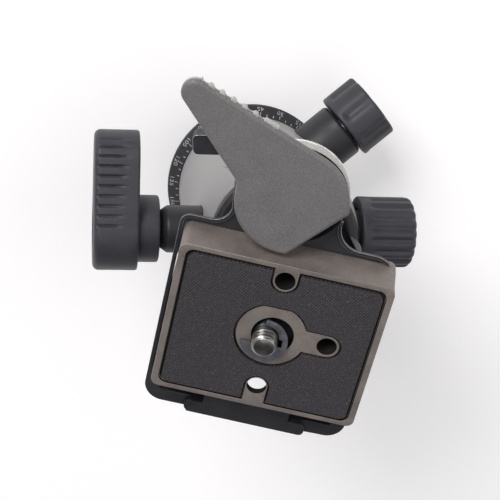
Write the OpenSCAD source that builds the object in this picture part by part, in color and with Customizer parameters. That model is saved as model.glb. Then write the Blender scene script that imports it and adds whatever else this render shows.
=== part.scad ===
// Tripod ball head: panning base, ball housing with three knobs, ball and stem,
// lever clamp and drop-in camera plate.
// Origin: centre of the underside of the base. +Z up, main lock knob towards -X,
// drop notch towards -Y, clamp lever towards +Y.

/* [Base] */
// Diameter of the base disc and of the scale ring on it
base_d = 53; // [51:0.5:60]
// Diameter of the base at its underside
foot_d = 47.6; // [44:0.2:50]
// Thickness of the base disc
base_h = 11; // [9:1:14]
// Height of the conical scale ring above the disc
scale_h = 4.6; // [3:0.2:6]
// Radial width of the scale ring
scale_w = 3.7; // [3:0.1:4.5]
// Minor diameter of the 3/8 inch tripod thread
socket_d = 7.96; // [7.8:0.02:8.2]
// Depth of the tripod thread
socket_h = 13; // [10:0.5:14]
// Outer diameter of the steel thread bush
bush_d = 14; // [12:0.5:16]
// Diameter of the pan spigot
spigot_d = 26; // [22:0.5:30]
// Height of the pan spigot above the disc
spigot_h = 22.2; // [21.6:0.2:24]
// Thickness of the pan washer
pan_washer_t = 0.6; // [0.4:0.1:1]

/* [Housing] */
// Outer diameter of the housing at its foot
housing_d = 46.8; // [45:0.2:48]
// Outer diameter of the mouth collar
collar_d = 40.6; // [40:0.2:42]
// Height at which the housing starts to dome inwards
dome_start = 46; // [44:1:50]
// Height of the mouth collar's rim above the ball centre
collar_rise = 8; // [7:0.5:9]
// Visible height of the mouth collar
collar_h = 4; // [3:0.5:5]
// Flare of the drop notch's sides from vertical, in degrees
notch_flare = 20; // [15:1:25]

/* [Ball] */
// Height of the ball centre above the underside of the base
ball_z = 75; // [74:0.5:78]
// Diameter of the ball
ball_d = 36; // [35:0.5:37]
// Diameter of the stem
stem_d = 14; // [12:0.5:15]
// Wall of the seat liner
liner_t = 1.2; // [1:0.1:1.5]
// Lean of the ball to the left in the pose at rest, in degrees
rest_lean = 11.5; // [0:0.5:20]
// Tilt of the ball towards the drop notch in the pose at rest, in degrees
rest_tilt = 16; // [0:0.5:25]
// Turn of the clamp about the stem in the pose at rest, in degrees
rest_spin = -10.5; // [-30:0.5:30]

/* [Knobs] */
// Height of the lock and friction knobs' axis
knob_z = 68; // [66:0.5:70]
// Radius of the lock knob at its hub end
lock_r = 11.6; // [11:0.1:12.5]
// Radius of the lock knob's lobe
lobe_r = 8.4; // [7.5:0.1:10]
// Distance of the lobe's centre from the knob's axis
lobe_off = 19; // [17:0.1:21]
// Length of the lock knob
lock_len = 12.2; // [11.6:0.2:14]
// Distance of the lock knob's inner face from the head's axis
lock_x = 39.2; // [38:0.1:40]
// Diameter of the lock knob's hub
lock_hub_d = 18.6; // [17:0.2:20]
// Number of grip grooves on each flank of the lock knob
lock_grooves = 10; // [6:1:11]
// Diameter of the friction knob
friction_d = 20; // [19:0.5:21]
// Length of the friction knob
friction_len = 17; // [15:0.1:19]
// Distance of the friction knob's inner face from the head's axis
friction_x = 22.5; // [22.2:0.1:24]
// Number of flutes on the friction knob
friction_flutes = 18; // [12:1:24]
// Height of the pan knob's axis
pan_z = 27; // [26:0.5:28]
// Direction of the pan knob, in degrees from +X
pan_az = 41; // [30:1:50]
// Diameter of the pan knob
pan_d = 21.2; // [20:0.2:22]
// Length of the pan knob
pan_len = 11.9; // [10.5:0.1:13]
// Distance of the pan knob's inner face from the head's axis
pan_x = 34.5; // [33:0.1:36]
// Diameter of the pan knob's collar
pan_collar_d = 17.4; // [16:0.2:18]
// Number of shallow lobes on the pan knob
pan_lobes = 7; // [5:1:9]
// Diameter of the spindles that the knobs turn
spindle_d = 6; // [5:0.5:6.5]

/* [Clamp] */
// Distance from the ball centre to the top face of the plate
plate_top = 49; // [47:0.5:52]
// Thickness of the receiver's floor
floor_t = 3.7; // [3:0.1:4.5]
// Height of the receiver's rim above its floor
rim_h = 3.3; // [2.5:0.1:4]
// Wall of the receiver's rim
rim_t = 1.7; // [1.3:0.1:2.2]
// Height of the fixed jaw above the rim
jaw_rise = 2.1; // [1.8:0.1:2.6]
// Depth of the receiver beyond the plate on the fixed jaw's side
jaw_side = 9.1; // [8:0.1:10]
// Distance of the lever's pivot from the plate's middle, across the plate
pivot_y = 36.6; // [36.4:0.1:38]
// Offset of the lever's pivot to the left of the plate's middle
pivot_x = 3; // [1:0.2:5]
// Radius of the lever's round end
lever_r = 13.3; // [13:0.1:13.6]
// Distance of the lever's flat from its pivot
lever_flat = 9.8; // [9:0.1:11]
// Direction that the lever's flat faces at rest, in degrees
flat_dir = -40; // [-48:1:-36]
// Thickness of the lever's plate
lever_t = 1.6; // [1.4:0.1:2]
// Depth of the serrated grip under the lever's arm
grip_t = 1.7; // [1.2:0.1:2.2]
// Reach of the lever from its pivot to the tip circle
lever_reach = 35.7; // [32:0.1:38]
// Direction of the lever's arm at rest, in degrees
arm_dir = 141.3; // [138:0.1:144]
// Radius of the lever's tip
tip_r = 2.4; // [2:0.1:3]

/* [Plate] */
// Length of the plate
plate_l = 52.2; // [50:0.1:55]
// Width of the plate at its top face
plate_w = 42.5; // [40:0.5:44]
// Thickness of the plate
plate_t = 10.5; // [10:0.1:12]
// Width that the foot's flare adds on each long side
foot_flare = 1.35; // [1:0.05:1.6]
// Corner radius of the plate
plate_r = 2.2; // [1.5:0.1:3]
// Thickness of the plate's top wall
plate_skin = 2.7; // [2.4:0.1:3]
// Width of the bare metal rim around the pad
pad_rim = 2.1; // [1.5:0.1:3]
// Depth of the pad's recess
pad_t = 1; // [0.8:0.1:1.2]
// Diameter of the three accessory holes
hole_d = 4.9; // [4:0.1:5]
// Diameter of the plain boss around the camera screw
boss_d = 16.8; // [15:0.2:18]
// Diameter of the hole that the camera screw stands in
screw_hole_d = 10.4; // [9.6:0.2:11]
// Diameter of the 1/4 inch camera screw
camera_d = 6.35; // [6.3:0.01:6.4]
// Length of the camera screw above the plate
camera_out = 5; // [4:0.5:6]

/* [Hidden] */

$fn = 96;
eps = 0.01;              // overshoot of a cut past a face
run_gap = 0.05;          // radial clearance of a turning or sliding fit
seat_gap = 0.02;         // clearance of a seated part in its own body
free_gap = 0.3;          // clearance of parts that pass without touching
edge = 0.6;              // small broken edge

// base
base_r = base_d / 2;
land_r = base_r - scale_w;
scale_top = base_h + scale_h;
foot_r = foot_d / 2;
housing_z = scale_top + pan_washer_t;
spigot_r = spigot_d / 2;
spigot_top = base_h + spigot_h;
retainer_t = 2.6;
retainer_lap = 3.2;      // overlap of the retainer on the housing's ledge
retainer_screw_d = 3;
retainer_screw_n = 3;

// ball seat
ball_r = ball_d / 2;
liner_in = ball_r + run_gap;
liner_out = liner_in + liner_t;
seat_r = liner_out + run_gap;
liner_half = 62;         // half angle of the liner about its own axis
collar_top = ball_z + collar_rise;
collar_bottom = collar_top - collar_h;
cup_r = 16.4;
cup_h = 5.2;             // height of the cup under the liner
cup_bottom = ball_z - seat_r - cup_h;
housing_top = collar_bottom;
housing_r = housing_d / 2;
stem_r = stem_d / 2;
notch_r = stem_r + 0.7;

// clamp, in the frame of the ball and the plate
plate_z0 = plate_top - plate_t;
floor_top = plate_z0 - free_gap;
floor_bottom = floor_top - floor_t;
rim_top = floor_top + rim_h;
jaw_top = rim_top + jaw_rise;
foot_w = plate_w + 2 * foot_flare;
flare_top = plate_top - 4;          // where the side starts to flare
flare_bottom = plate_z0 + 2;        // where the flare ends in the foot
pocket_gap = 0.3;
pocket_x = plate_l / 2 + pocket_gap;
pocket_y = foot_w / 2 + pocket_gap;
end_t = 1.05;                        // wall at the plate's closed end
rec_left = -(pocket_x + end_t);
rec_right = plate_l / 2 - 0.45;     // the far end is open
rec_top = pocket_y + rim_t;
rec_bottom = -(foot_w / 2 + jaw_side);
jaw_left = -16.5;
jaw_right = 14.6;
lip_left = -12;
lip_right = 10;
jaw_wall = 3.7;
slot_left = -23.6;                  // slots beside the jaw
slot_right = 21.4;
slot_y = -(foot_w / 2 + 2.9);
window_x = 9;                       // half length of the window under the jaw's lip
window_in = foot_w / 2 - 2.1;
pivot = [-pivot_x, pivot_y];
flange_r = 10;
flange_t = 2.5;
flange_top = floor_bottom - run_gap;
lever_top = plate_top - 1;
lever_bottom = lever_top - lever_t;
cam_bottom = floor_top + free_gap;
cam_top = cam_bottom + 3.8;
cam_reach = pivot_y - foot_w / 2 - free_gap;  // radius of the cam towards the plate when locked
cam_off = 0.55;                     // eccentricity of the cam
cam_flare = 0.5;                    // how much the cam widens upwards
tower_in = cam_reach + cam_flare + 0.25;
tower_r = tower_in + 0.6;
tower_end = pivot_y + 0.8;          // the tower's wall ends here, and earlier on the right
tower_end_right = pivot_y - 4.2;
tower_boss_r = 10.2;                // floor beyond the pivot
pivot_d = 6;
catch_at = [14, 16];
catch_pin_d = 4.4;
catch_boss_d = 9.4;
catch_down = 7;                     // depth of the catch pin's boss below the floor
safety_at = [-11.8, 45];
safety_dir = 193;                   // direction of the safety catch from its pin
safety_top = floor_top - 0.2;
safety_t = 1.8;
safety_tab_t = 3.6;
clip_at = [-1.2, 0.5];              // camera screw's place in its hole
hole_at = [0.3, 0.6];
accessory_at = [[0, 16.9], [14, 1.2], [0, -14.9]];

// ---------- places ----------
module on_liner() translate([0, 0, ball_z]) rotate([0, -rest_lean, 0]) children();
module on_ball() on_liner() rotate([rest_tilt, 0, 0]) children();
module on_clamp() on_ball() rotate([0, 0, rest_spin]) children();
module on_lock() translate([0, 0, knob_z]) rotate([0, -90, 0]) children();
module on_friction() translate([0, 0, knob_z]) rotate([0, 90, 0]) children();
module on_pan() translate([0, 0, pan_z]) rotate([0, 0, pan_az]) rotate([0, 90, 0]) children();
module at_pivot() translate([pivot[0], pivot[1], 0]) children();

// ---------- shared forms ----------
module disc(r, z0, z1) translate([0, 0, z0]) cylinder(r = r, h = z1 - z0);
module tube(ro, ri, z0, z1) difference() {
    disc(ro, z0, z1);
    disc(ri, z0 - 1, z1 + 1);
}
// rounded rectangle between two corners, with one radius for each corner
module plan(x0, y0, x1, y1, r_tl, r_tr, r_br, r_bl) difference() {
    translate([x0, y0]) square([x1 - x0, y1 - y0]);
    corner_cut(x0, y1, 1, -1, r_tl);
    corner_cut(x1, y1, -1, -1, r_tr);
    corner_cut(x1, y0, -1, 1, r_br);
    corner_cut(x0, y0, 1, 1, r_bl);
}
module corner_cut(x, y, sx, sy, r) translate([x, y]) difference() {
    translate([sx > 0 ? -1 : -r, sy > 0 ? -1 : -r]) square(r + 1);
    translate([sx * r, sy * r]) circle(r = r);
}
module round_plan(l, w, r) plan(-l / 2, -w / 2, l / 2, w / 2, r, r, r, r);
module slab(z0, z1) translate([0, 0, z0]) linear_extrude(z1 - z0) children();
// knob turned from a cylinder, with broken edges at both ends
module turned_knob(r, len, bevel, dome) rotate_extrude()
    polygon([[0, 0], [r - edge, 0], [r, edge], [r, len - bevel], [r - bevel, len],
             [r * 0.5, len + dome * 0.8], [0, len + dome]]);

// ---------- base ----------
module base_plate() color("#2c2c30") difference() {
    rotate_extrude() polygon([
        [0, 0], [foot_r - 0.6, 0], [foot_r, 0.6], [base_r, base_h - 0.6], [base_r, base_h], [land_r, base_h],
        [land_r, scale_top - 0.1], [spigot_r, scale_top - 0.1], [spigot_r, spigot_top - 0.5],
        [spigot_r - 0.5, spigot_top], [0, spigot_top]]);
    disc(bush_d / 2 + seat_gap, -1, socket_h);
    disc(bush_d / 2 + 1.5, -1, 1.5);
    disc(socket_d / 2 + 0.5, 0, spigot_top + 1);
    // shallow relief that leaves a rim to stand on
    difference() {
        disc(foot_r - 4, -1, 0.8);
        disc(bush_d / 2 + 4, -2, 2);
    }
    for (i = [0 : retainer_screw_n - 1]) rotate(i * 360 / retainer_screw_n + 60)
        translate([spigot_r - 4, 0, spigot_top - 9]) cylinder(d = retainer_screw_d + 2 * seat_gap, h = 10);
}
module thread_bush() color("#b9b6ad") difference() {
    union() {
        disc(bush_d / 2, 0, socket_h);
        disc(bush_d / 2 + 1.4, 0, 1.45);
    }
    disc(socket_d / 2, -1, socket_h + 1);
}
module scale_ring() color("#1e1e20") difference() {
    rotate_extrude() polygon([
        [land_r + seat_gap, base_h], [base_r, base_h], [base_r, base_h + 1.2],
        [land_r + 0.6, scale_top], [land_r + seat_gap, scale_top]]);
    rotate(pan_az) for (a = [-60, 60, 180]) rotate(a)
        translate([land_r - 1, 0, base_h + 2]) rotate([0, 90, 0]) cylinder(d = 1.4, h = scale_w + 2);
}
module pan_washer() color("#e6e3da") tube(land_r - 1.5, spigot_r + 0.4, scale_top - 0.1, housing_z - run_gap);
module pan_retainer() color("#8d8f92") difference() {
    tube(spigot_r + retainer_lap, 5.2, spigot_top, spigot_top + retainer_t);
    for (i = [0 : retainer_screw_n - 1]) rotate(i * 360 / retainer_screw_n + 60)
        translate([spigot_r - 4, 0, 0]) {
            disc(retainer_screw_d / 2 + seat_gap, spigot_top - 1, spigot_top + retainer_t + 1);
            translate([0, 0, spigot_top + retainer_t - 1.5])
                cylinder(r1 = retainer_screw_d / 2 + seat_gap, r2 = retainer_screw_d / 2 + 1.52, h = 1.5 + eps);
        }
}
module retainer_screws() color("#707276") for (i = [0 : retainer_screw_n - 1])
    rotate(i * 360 / retainer_screw_n + 60) translate([spigot_r - 4, 0, 0]) difference() {
        union() {
            disc(retainer_screw_d / 2, spigot_top - 8, spigot_top + retainer_t - 1.5);
            translate([0, 0, spigot_top + retainer_t - 1.5])
                cylinder(r1 = retainer_screw_d / 2, r2 = retainer_screw_d / 2 + 1.5, h = 1.5);
        }
        translate([0, 0, spigot_top + retainer_t - 1.1]) cylinder(d = 2, h = 2, $fn = 6);
    }

// ---------- housing ----------
dome_steps = 10;
function dome_r(t) = collar_d / 2 - 0.4 + (housing_r - collar_d / 2 + 0.4) * sqrt(1 - t * t);
dome = [for (i = [0 : dome_steps]) let (t = i / dome_steps * 0.98)
    [dome_r(t), dome_start + (housing_top - dome_start) * i / dome_steps]];
// slot towards -Y that lets the stem lie level
module drop_notch() translate([0, 0, ball_z]) rotate([90, 0, 0]) {
    cylinder(r = notch_r, h = housing_r + 4);
    linear_extrude(housing_r + 4) polygon([
        [-notch_r * cos(notch_flare), -notch_r * sin(notch_flare)],
        [notch_r * cos(notch_flare), -notch_r * sin(notch_flare)],
        [notch_r * cos(notch_flare) + 16 * tan(notch_flare), 16 - notch_r * sin(notch_flare)],
        [-notch_r * cos(notch_flare) - 16 * tan(notch_flare), 16 - notch_r * sin(notch_flare)]]);
}
chamber_r = spigot_r + retainer_lap + 0.5;
module housing() color("#a3a1a1") difference() {
    rotate_extrude() polygon(concat(
        [[0, housing_z], [housing_r - 0.8, housing_z], [housing_r, housing_z + 0.8]],
        dome, [[0, housing_top]]));
    disc(spigot_r + run_gap, housing_z - 1, spigot_top);
    disc(chamber_r, spigot_top - run_gap, cup_bottom - 2.2);
    disc(cup_r + run_gap, cup_bottom - 2.3, ball_z - 8);
    translate([0, 0, ball_z]) sphere(r = seat_r);
    disc(seat_r + 0.1, ball_z, housing_top + 1);
    // bores of the three bosses
    on_lock() disc(boss_r(0), 12, 40);
    on_friction() disc(boss_r(1), 12, 40);
    on_pan() {
        disc(4 + run_gap, spigot_r - 2, 40);
        disc(boss_r(2), pan_shoe_end - seat_gap, 40);
    }
    // spot face behind the friction knob
    on_friction() disc(friction_d / 2 + 0.6, friction_x - 0.4, 40);
    drop_notch();
}
// bore radius of a boss in the housing, the threaded bush that fills it
function boss_r(i) = [6.6, 6.2, 6.2][i] + seat_gap;
module mouth_collar() color("#242427") difference() {
    rotate_extrude() polygon([
        [seat_r - 0.05, collar_bottom - 2.6], [seat_r - 0.05, collar_bottom], [collar_d / 2, collar_bottom],
        [collar_d / 2, collar_top - 1.2], [collar_d / 2 - 1, collar_top], [ball_r - 0.2, collar_top],
        [ball_r - 1.4, collar_top - 2.4], [ball_r - 2, collar_bottom - 2.6]]);
    translate([0, 0, ball_z]) sphere(r = liner_in);
    drop_notch();
}
module seat_cup() color("#8f8b84") difference() {
    disc(cup_r, cup_bottom, ball_z - 9.5);
    translate([0, 0, ball_z]) sphere(r = seat_r);
    disc(4, cup_bottom - 1, ball_z);
    for (s = [-1, 1]) translate([s * 17.5, 0, knob_z]) rotate([0, s * 90, 0]) translate([0, 0, -6])
        cylinder(r = 6.7, h = 12);
}
module seat_spring() color("#6f7276") rotate_extrude() polygon([
    [6, cup_bottom - 0.9], [15.6, cup_bottom - 2], [15.6, cup_bottom - 1.2], [6, cup_bottom - 0.05]]);
module lock_boss() color("#2a2a2d") on_lock() difference() {
    union() {
        disc(boss_r(0) - seat_gap, seat_r - 2, 31);
        translate([0, 0, 31]) cylinder(r1 = boss_r(0) - seat_gap, r2 = boss_r(0) - 1.4, h = 2);
    }
    disc(spindle_d / 2 + run_gap, 0, 40);
    disc(4.6, 0, shoe_back + 1.2);
    liner_cut(1);
}
// the liner's outside seen from the lock or friction knob, cut from what presses on it
module liner_cut(side) translate([side * (ball_z - knob_z), 0, 0]) sphere(r = seat_r + run_gap);
shoe_back = seat_r + 0.8;
module friction_boss() color("#2a2a2d") on_friction() difference() {
    disc(boss_r(1) - seat_gap, seat_r - 2, friction_x + 3);
    disc(spindle_d / 2 + run_gap, 0, 40);
    disc(4.6, 0, shoe_back + 1.4);
    liner_cut(-1);
}
module pan_boss() color("#26262a") on_pan() difference() {
    union() {
        disc(boss_r(2) - seat_gap, pan_shoe_end, housing_r);
        difference() {
            union() {
                disc(pan_collar_d / 2, housing_r - 3, pan_x - 1.2);
                translate([0, 0, pan_x - 1.2])
                    cylinder(r1 = pan_collar_d / 2, r2 = pan_collar_d / 2 - 0.7, h = 0.8);
            }
            rotate([0, -90, 0]) cylinder(r = housing_r + seat_gap, h = 40, center = true);
        }
    }
    disc(spindle_d / 2 + run_gap, 0, 40);
}
pan_shoe_end = spigot_r + 4.1;
pan_shoe_back = pan_shoe_end - 0.9;
module lock_shoe() color("#c9b27a") on_lock() difference() {
    disc(4.5, 12, shoe_back);
    liner_cut(1);
}
module friction_shoe() color("#d8d2c0") on_friction() difference() {
    disc(4.5, 12, shoe_back - 0.2);
    liner_cut(-1);
}
module friction_spring() color("#7a7d80") on_friction() tube(4.3, 1.5, shoe_back - 0.1, shoe_back + 0.7);
module pan_shoe() color("#b59a5b") on_pan() difference() {
    disc(4, spigot_r - 3, pan_shoe_back);
    rotate([0, 90, 0]) cylinder(r = spigot_r + 0.1, h = 40, center = true);
}

// ---------- lock knob ----------
// angle of the flanks of the lobed knob and length of their straight part
flank_a = asin((lock_r - lobe_r) / lobe_off);
flank_l = lobe_off * cos(flank_a);
// outline of the lobed knob: a hub circle and a lobe circle joined by their tangents
module lobed(grow) {
    hub = lock_r + grow;
    lobe = lobe_r + grow;
    circle(r = hub);
    translate([0, lobe_off]) circle(r = lobe);
    polygon([[-hub * cos(flank_a), hub * sin(flank_a)], [hub * cos(flank_a), hub * sin(flank_a)],
        [lobe * cos(flank_a), lobe_off + lobe * sin(flank_a)],
        [-lobe * cos(flank_a), lobe_off + lobe * sin(flank_a)]]);
}
// point at a distance along the flank, then round the lobe, pushed out by a margin
function lobe_turn(u) = flank_a + (u - flank_l) / lobe_r * 180 / PI;
function flank_point(u, out) = u < flank_l
    ? [(lock_r + out) * cos(flank_a) - u * sin(flank_a), (lock_r + out) * sin(flank_a) + u * cos(flank_a)]
    : [(lobe_r + out) * cos(lobe_turn(u)), lobe_off + (lobe_r + out) * sin(lobe_turn(u))];
groove_pitch = 2.8;
groove_r = 1.3;
module lock_knob() color("#3a3b3f") on_lock() difference() {
    union() {
        slab(lock_x, lock_x + 0.8) lobed(-0.6);
        slab(lock_x + 0.8, lock_x + lock_len - 1.6) lobed(0);
        slab(lock_x + lock_len - 1.6, lock_x + lock_len - 0.8) lobed(-0.4);
        slab(lock_x + lock_len - 0.8, lock_x + lock_len) lobed(-1.2);
        disc(lock_hub_d / 2, lock_hub_x, lock_x + 1);
    }
    for (s = [-1, 1]) for (i = [0 : lock_grooves - 1]) {
        p = flank_point(i * groove_pitch - 0.5, groove_r - 0.45);
        start = lock_x + 2.9 + 2.1 * (1 - i / (lock_grooves - 1));
        translate([s * p[0], p[1], start]) cylinder(r = groove_r, h = lock_x + lock_len - 1.9 - start, $fn = 24);
    }
    disc(spindle_d / 2 + seat_gap, 0, lock_x + lock_len - 3.4);
    disc(5.4, lock_x + lock_len - 3.5, lock_x + lock_len + 1);
}
lock_hub_x = 33.4;
module lock_spindle() color("#9a9a98") on_lock() {
    disc(spindle_d / 2, shoe_back + 0.05, lock_x + lock_len - 3.5);
    translate([0, 0, lock_x + lock_len - 3.5]) disc(spindle_d / 2 - 0.8, 0, 1);
}
module lock_nut() color("#8a8b8d") on_lock() difference() {
    disc(5.2, lock_x + lock_len - 3.4, lock_x + lock_len - 0.9);
    disc(spindle_d / 2 - 0.8 + seat_gap, 0, 60);
}

// ---------- friction knob ----------
module friction_knob() color("#34363a") on_friction() difference() {
    translate([0, 0, friction_x]) turned_knob(friction_d / 2, friction_len - 1.4, 1.8, 1.4);
    for (i = [0 : friction_flutes - 1]) rotate(i * 360 / friction_flutes)
        translate([friction_d / 2 + 0.9, 0, friction_x + 2.8]) cylinder(r = 1.5, h = friction_len, $fn = 32);
    disc(spindle_d / 2 + seat_gap, 0, friction_x + friction_len - 3);
    disc(boss_r(1) + 0.5, 0, friction_x + 4);
}
module friction_spindle() color("#9a9a98") on_friction()
    disc(spindle_d / 2, shoe_back + 0.75, friction_x + friction_len - 3.1);

// ---------- pan knob ----------
module pan_knob() color("#36383c") on_pan() difference() {
    translate([0, 0, pan_x]) turned_knob(pan_d / 2, pan_len - 0.5, 1, 0.5);
    for (i = [0 : pan_lobes - 1]) rotate(i * 360 / pan_lobes)
        translate([pan_d / 2 + 5.2, 0, pan_x + 1.6]) cylinder(r = 6, h = pan_len + 2, $fn = 48);
    disc(spindle_d / 2 + seat_gap, 0, pan_x + pan_len - 3);
}
module pan_spindle() color("#9a9a98") on_pan()
    disc(spindle_d / 2, pan_shoe_back + run_gap, pan_x + pan_len - 3.1);

// ---------- ball ----------
module seat_liner() color("#dcd9d0") on_liner() intersection() {
    difference() {
        sphere(r = liner_out);
        sphere(r = liner_in);
    }
    difference() {
        translate([0, 0, -liner_out]) cylinder(r = liner_out + 1, h = liner_out * (1 - cos(liner_half)));
        disc(4, -liner_out - 1, 0);
    }
}
module ball() color("#c4c6c8") on_ball() difference() {
    union() {
        sphere(r = ball_r);
        disc(stem_r, 0, flange_top - flange_t);
        rotate_extrude() polygon([[0, flange_top - flange_t - 2], [stem_r, flange_top - flange_t - 2],
            [flange_r, flange_top - flange_t], [flange_r, flange_top - edge], [flange_r - edge, flange_top],
            [0, flange_top]]);
    }
    disc(3.05, flange_top - 15, flange_top + 1);
    translate([0, 0, -ball_r - 1]) cylinder(r = 3, h = 3);
}

// ---------- receiver ----------
fillet_r = 5;
// concave corner between the tower and the rim, on one side
fillet_y = rec_top + fillet_r;
fillet_x = sqrt(pow(tower_r + fillet_r, 2) - pow(fillet_y - pivot_y, 2));
neck_k = tower_r / (tower_r + fillet_r);
module tower_neck() difference() {
    translate([pivot[0], 0]) polygon([[-fillet_x, rec_top - 1], [fillet_x, rec_top - 1], [fillet_x, rec_top],
        [fillet_x * neck_k, pivot_y + (fillet_y - pivot_y) * neck_k],
        [-fillet_x * neck_k, pivot_y + (fillet_y - pivot_y) * neck_k], [-fillet_x, rec_top]]);
    for (s = [-1, 1]) translate([pivot[0] + s * fillet_x, fillet_y]) circle(r = fillet_r);
}
module receiver_plan() {
    plan(rec_left, rec_bottom, rec_right, rec_top, 3, 5.5, 5.5, 5);
    intersection() {
        translate(pivot) circle(r = tower_r);
        translate([-60, 0]) square([60 + pivot[0], tower_end]);
    }
    intersection() {
        translate(pivot) circle(r = tower_r);
        square([60, tower_end_right]);
    }
    tower_neck();
}
module pocket_plan() {
    plan(-pocket_x, -pocket_y, pocket_x + 40, pocket_y, plate_r, 0.1, 0.1, plate_r);
    translate(pivot) circle(r = tower_in);
}
module jaw_slots() {
    for (x = [[jaw_left, lip_left], [lip_right, jaw_right]])
        translate([x[0], rec_bottom + jaw_wall]) square([x[1] - x[0], jaw_side - jaw_wall + 1]);
    for (x = [[slot_left, jaw_left + 0.1], [jaw_right - 0.1, slot_right]])
        translate([x[0], slot_y]) square([x[1] - x[0], 4]);
}
module receiver() color("#29292d") on_clamp() difference() {
    union() {
        slab(floor_bottom, floor_top) receiver_plan();
        slab(floor_bottom + 1.7, floor_top) translate(pivot) circle(r = tower_boss_r);
        slab(floor_bottom, floor_top - 1) translate(pivot) circle(r = tower_boss_r - 1.7);
        // ear that carries the safety catch
        slab(floor_bottom, floor_bottom + 1.4) {
            translate(safety_at) circle(r = 3.2);
            translate([safety_at[0], pivot_y]) square([10, 9.4]);
        }
        // low wall around the pocket and the cam, open at one end and beyond the pivot
        slab(floor_top - eps, rim_top) difference() {
            receiver_plan();
            pocket_plan();
            translate([-60, tower_end]) square([120, 40]);
        }
        // fixed jaw: outer wall and the lip that hooks over the plate's flank
        slab(rim_top - eps, jaw_top) plan(jaw_left, rec_bottom, jaw_right, rec_bottom + jaw_wall, 0.1, 0.1, 2.6, 2.6);
        translate([lip_left, 0, 0]) rotate([90, 0, 90]) linear_extrude(lip_right - lip_left)
            polygon([[rec_bottom + 1, rim_top - 1.2], [-foot_w / 2 - 0.2, rim_top - 1.2],
                     [-flank_y(rim_top) - 0.25, rim_top], [-flank_y(jaw_top) - 0.25, jaw_top],
                     [rec_bottom + 1, jaw_top]]);
        // boss of the catch pin and stiffening rib under the floor
        translate(catch_at) disc(catch_boss_d / 2, floor_bottom - catch_down, floor_bottom + eps);
        slab(floor_bottom - 1.2, floor_bottom + eps)
            plan(rec_left + 6, rec_bottom + 0.8, rec_right - 6, rec_bottom + jaw_wall - 0.6, 1, 1, 1, 1);
    }
    // window under the jaw's lip and blind slots beside it
    slab(floor_bottom - 3, rim_top - 1.2) plan(-window_x, rec_bottom + jaw_wall, window_x, -window_in, 1, 1, 1, 1);
    slab(floor_top, jaw_top + 1) jaw_slots();
    // clamp screw's seat
    disc(3.2, floor_bottom - 5, floor_top + 1);
    translate([0, 0, floor_top - 2.6]) cylinder(r1 = 3.2, r2 = 6, h = 2.6 + eps);
    // lightening pockets in the floor
    for (s = [-1, 1]) slab(floor_top - 1.4, floor_top + 1)
        plan(s * 16 - 6, -16, s * 16 + 6, s > 0 ? 8 : 14, 2, 2, 2, 2);
    // catch pin's stepped bore
    translate(catch_at) {
        disc(catch_pin_d / 2 + run_gap, floor_bottom, floor_top + 1);
        disc(3.2, floor_bottom - catch_down - 1, floor_top - 1.6);
    }
    // pivot's bore and the spring's groove around it
    at_pivot() {
        disc(pivot_d / 2 - 0.5 + seat_gap, floor_bottom - 1, floor_top + 1);
        tube(7.4, 4.6, floor_top - 2.2, floor_top + 1);
    }
    // seat of the safety catch and the bore of its pin
    slab(safety_top - safety_t - free_gap, floor_top + 1) translate(safety_at) circle(r = 3.3);
    translate(safety_at) disc(1.1, floor_bottom - 1, floor_top);
}
// half width of the plate's flank at a height
function flank_y(z) = z >= flare_top ? plate_w / 2 : z <= flare_bottom ? foot_w / 2
    : plate_w / 2 + foot_flare * (flare_top - z) / (flare_top - flare_bottom);
module clamp_screw() color("#5c5e62") on_clamp() difference() {
    union() {
        disc(3, flange_top - 12, floor_top - 2.6);
        translate([0, 0, floor_top - 2.6]) cylinder(r1 = 3, r2 = 5.8, h = 2.5);
    }
    translate([0, 0, floor_top - 1.9]) cylinder(d = 4.6, h = 3, $fn = 6);
}
module catch_plug() color("#6b6d70") on_clamp() translate(catch_at) difference() {
    disc(3.18, floor_bottom - catch_down + 0.2, floor_bottom - catch_down + 2);
    disc(1.4, 0, 60);
}
module catch_pin() color("#b8963f") on_clamp() translate(catch_at) {
    disc(catch_pin_d / 2, floor_top - 2.2, plate_z0 - 0.05);
    disc(3.1, floor_top - 3.2, floor_top - 2.1);
    disc(1.25, floor_bottom - catch_down + 0.8, floor_top - 3.1);
}
module catch_spring() color("#8c8e90") on_clamp() translate(catch_at)
    coil(2.3, 0.35, floor_bottom - catch_down + 2.35, floor_top - 4.4, 6);
// stack of rings that stands for a coil's turns
module coil(r, w, z0, z1, n) for (i = [0 : n - 1])
    translate([0, 0, z0 + (z1 - z0) * i / (n - 1)]) rotate_extrude() translate([r, 0]) circle(r = w, $fn = 16);

// ---------- lever ----------
tip_at = [lever_reach * cos(arm_dir), lever_reach * sin(arm_dir)];
edge_up = arm_dir - acos((lever_r - tip_r) / lever_reach);   // normal of the arm's upper edge
edge_low = 221.5;                                            // normal of the arm's lower edge
module flat_cut(d) rotate(flat_dir) translate([d, -30]) square([30, 60]);
// outline of the lever about its pivot
module lever_plan(grow) {
    r = lever_r + grow;
    t = tip_r + grow;
    difference() {
        circle(r = r);
        flat_cut(lever_flat + grow);
    }
    translate(tip_at) circle(r = t);
    polygon([[0, 0], [r * cos(edge_up), r * sin(edge_up)],
        tip_at + t * [cos(edge_up), sin(edge_up)], tip_at + t * [cos(edge_low), sin(edge_low)],
        [r * cos(172), r * sin(172)]]);
}
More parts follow.
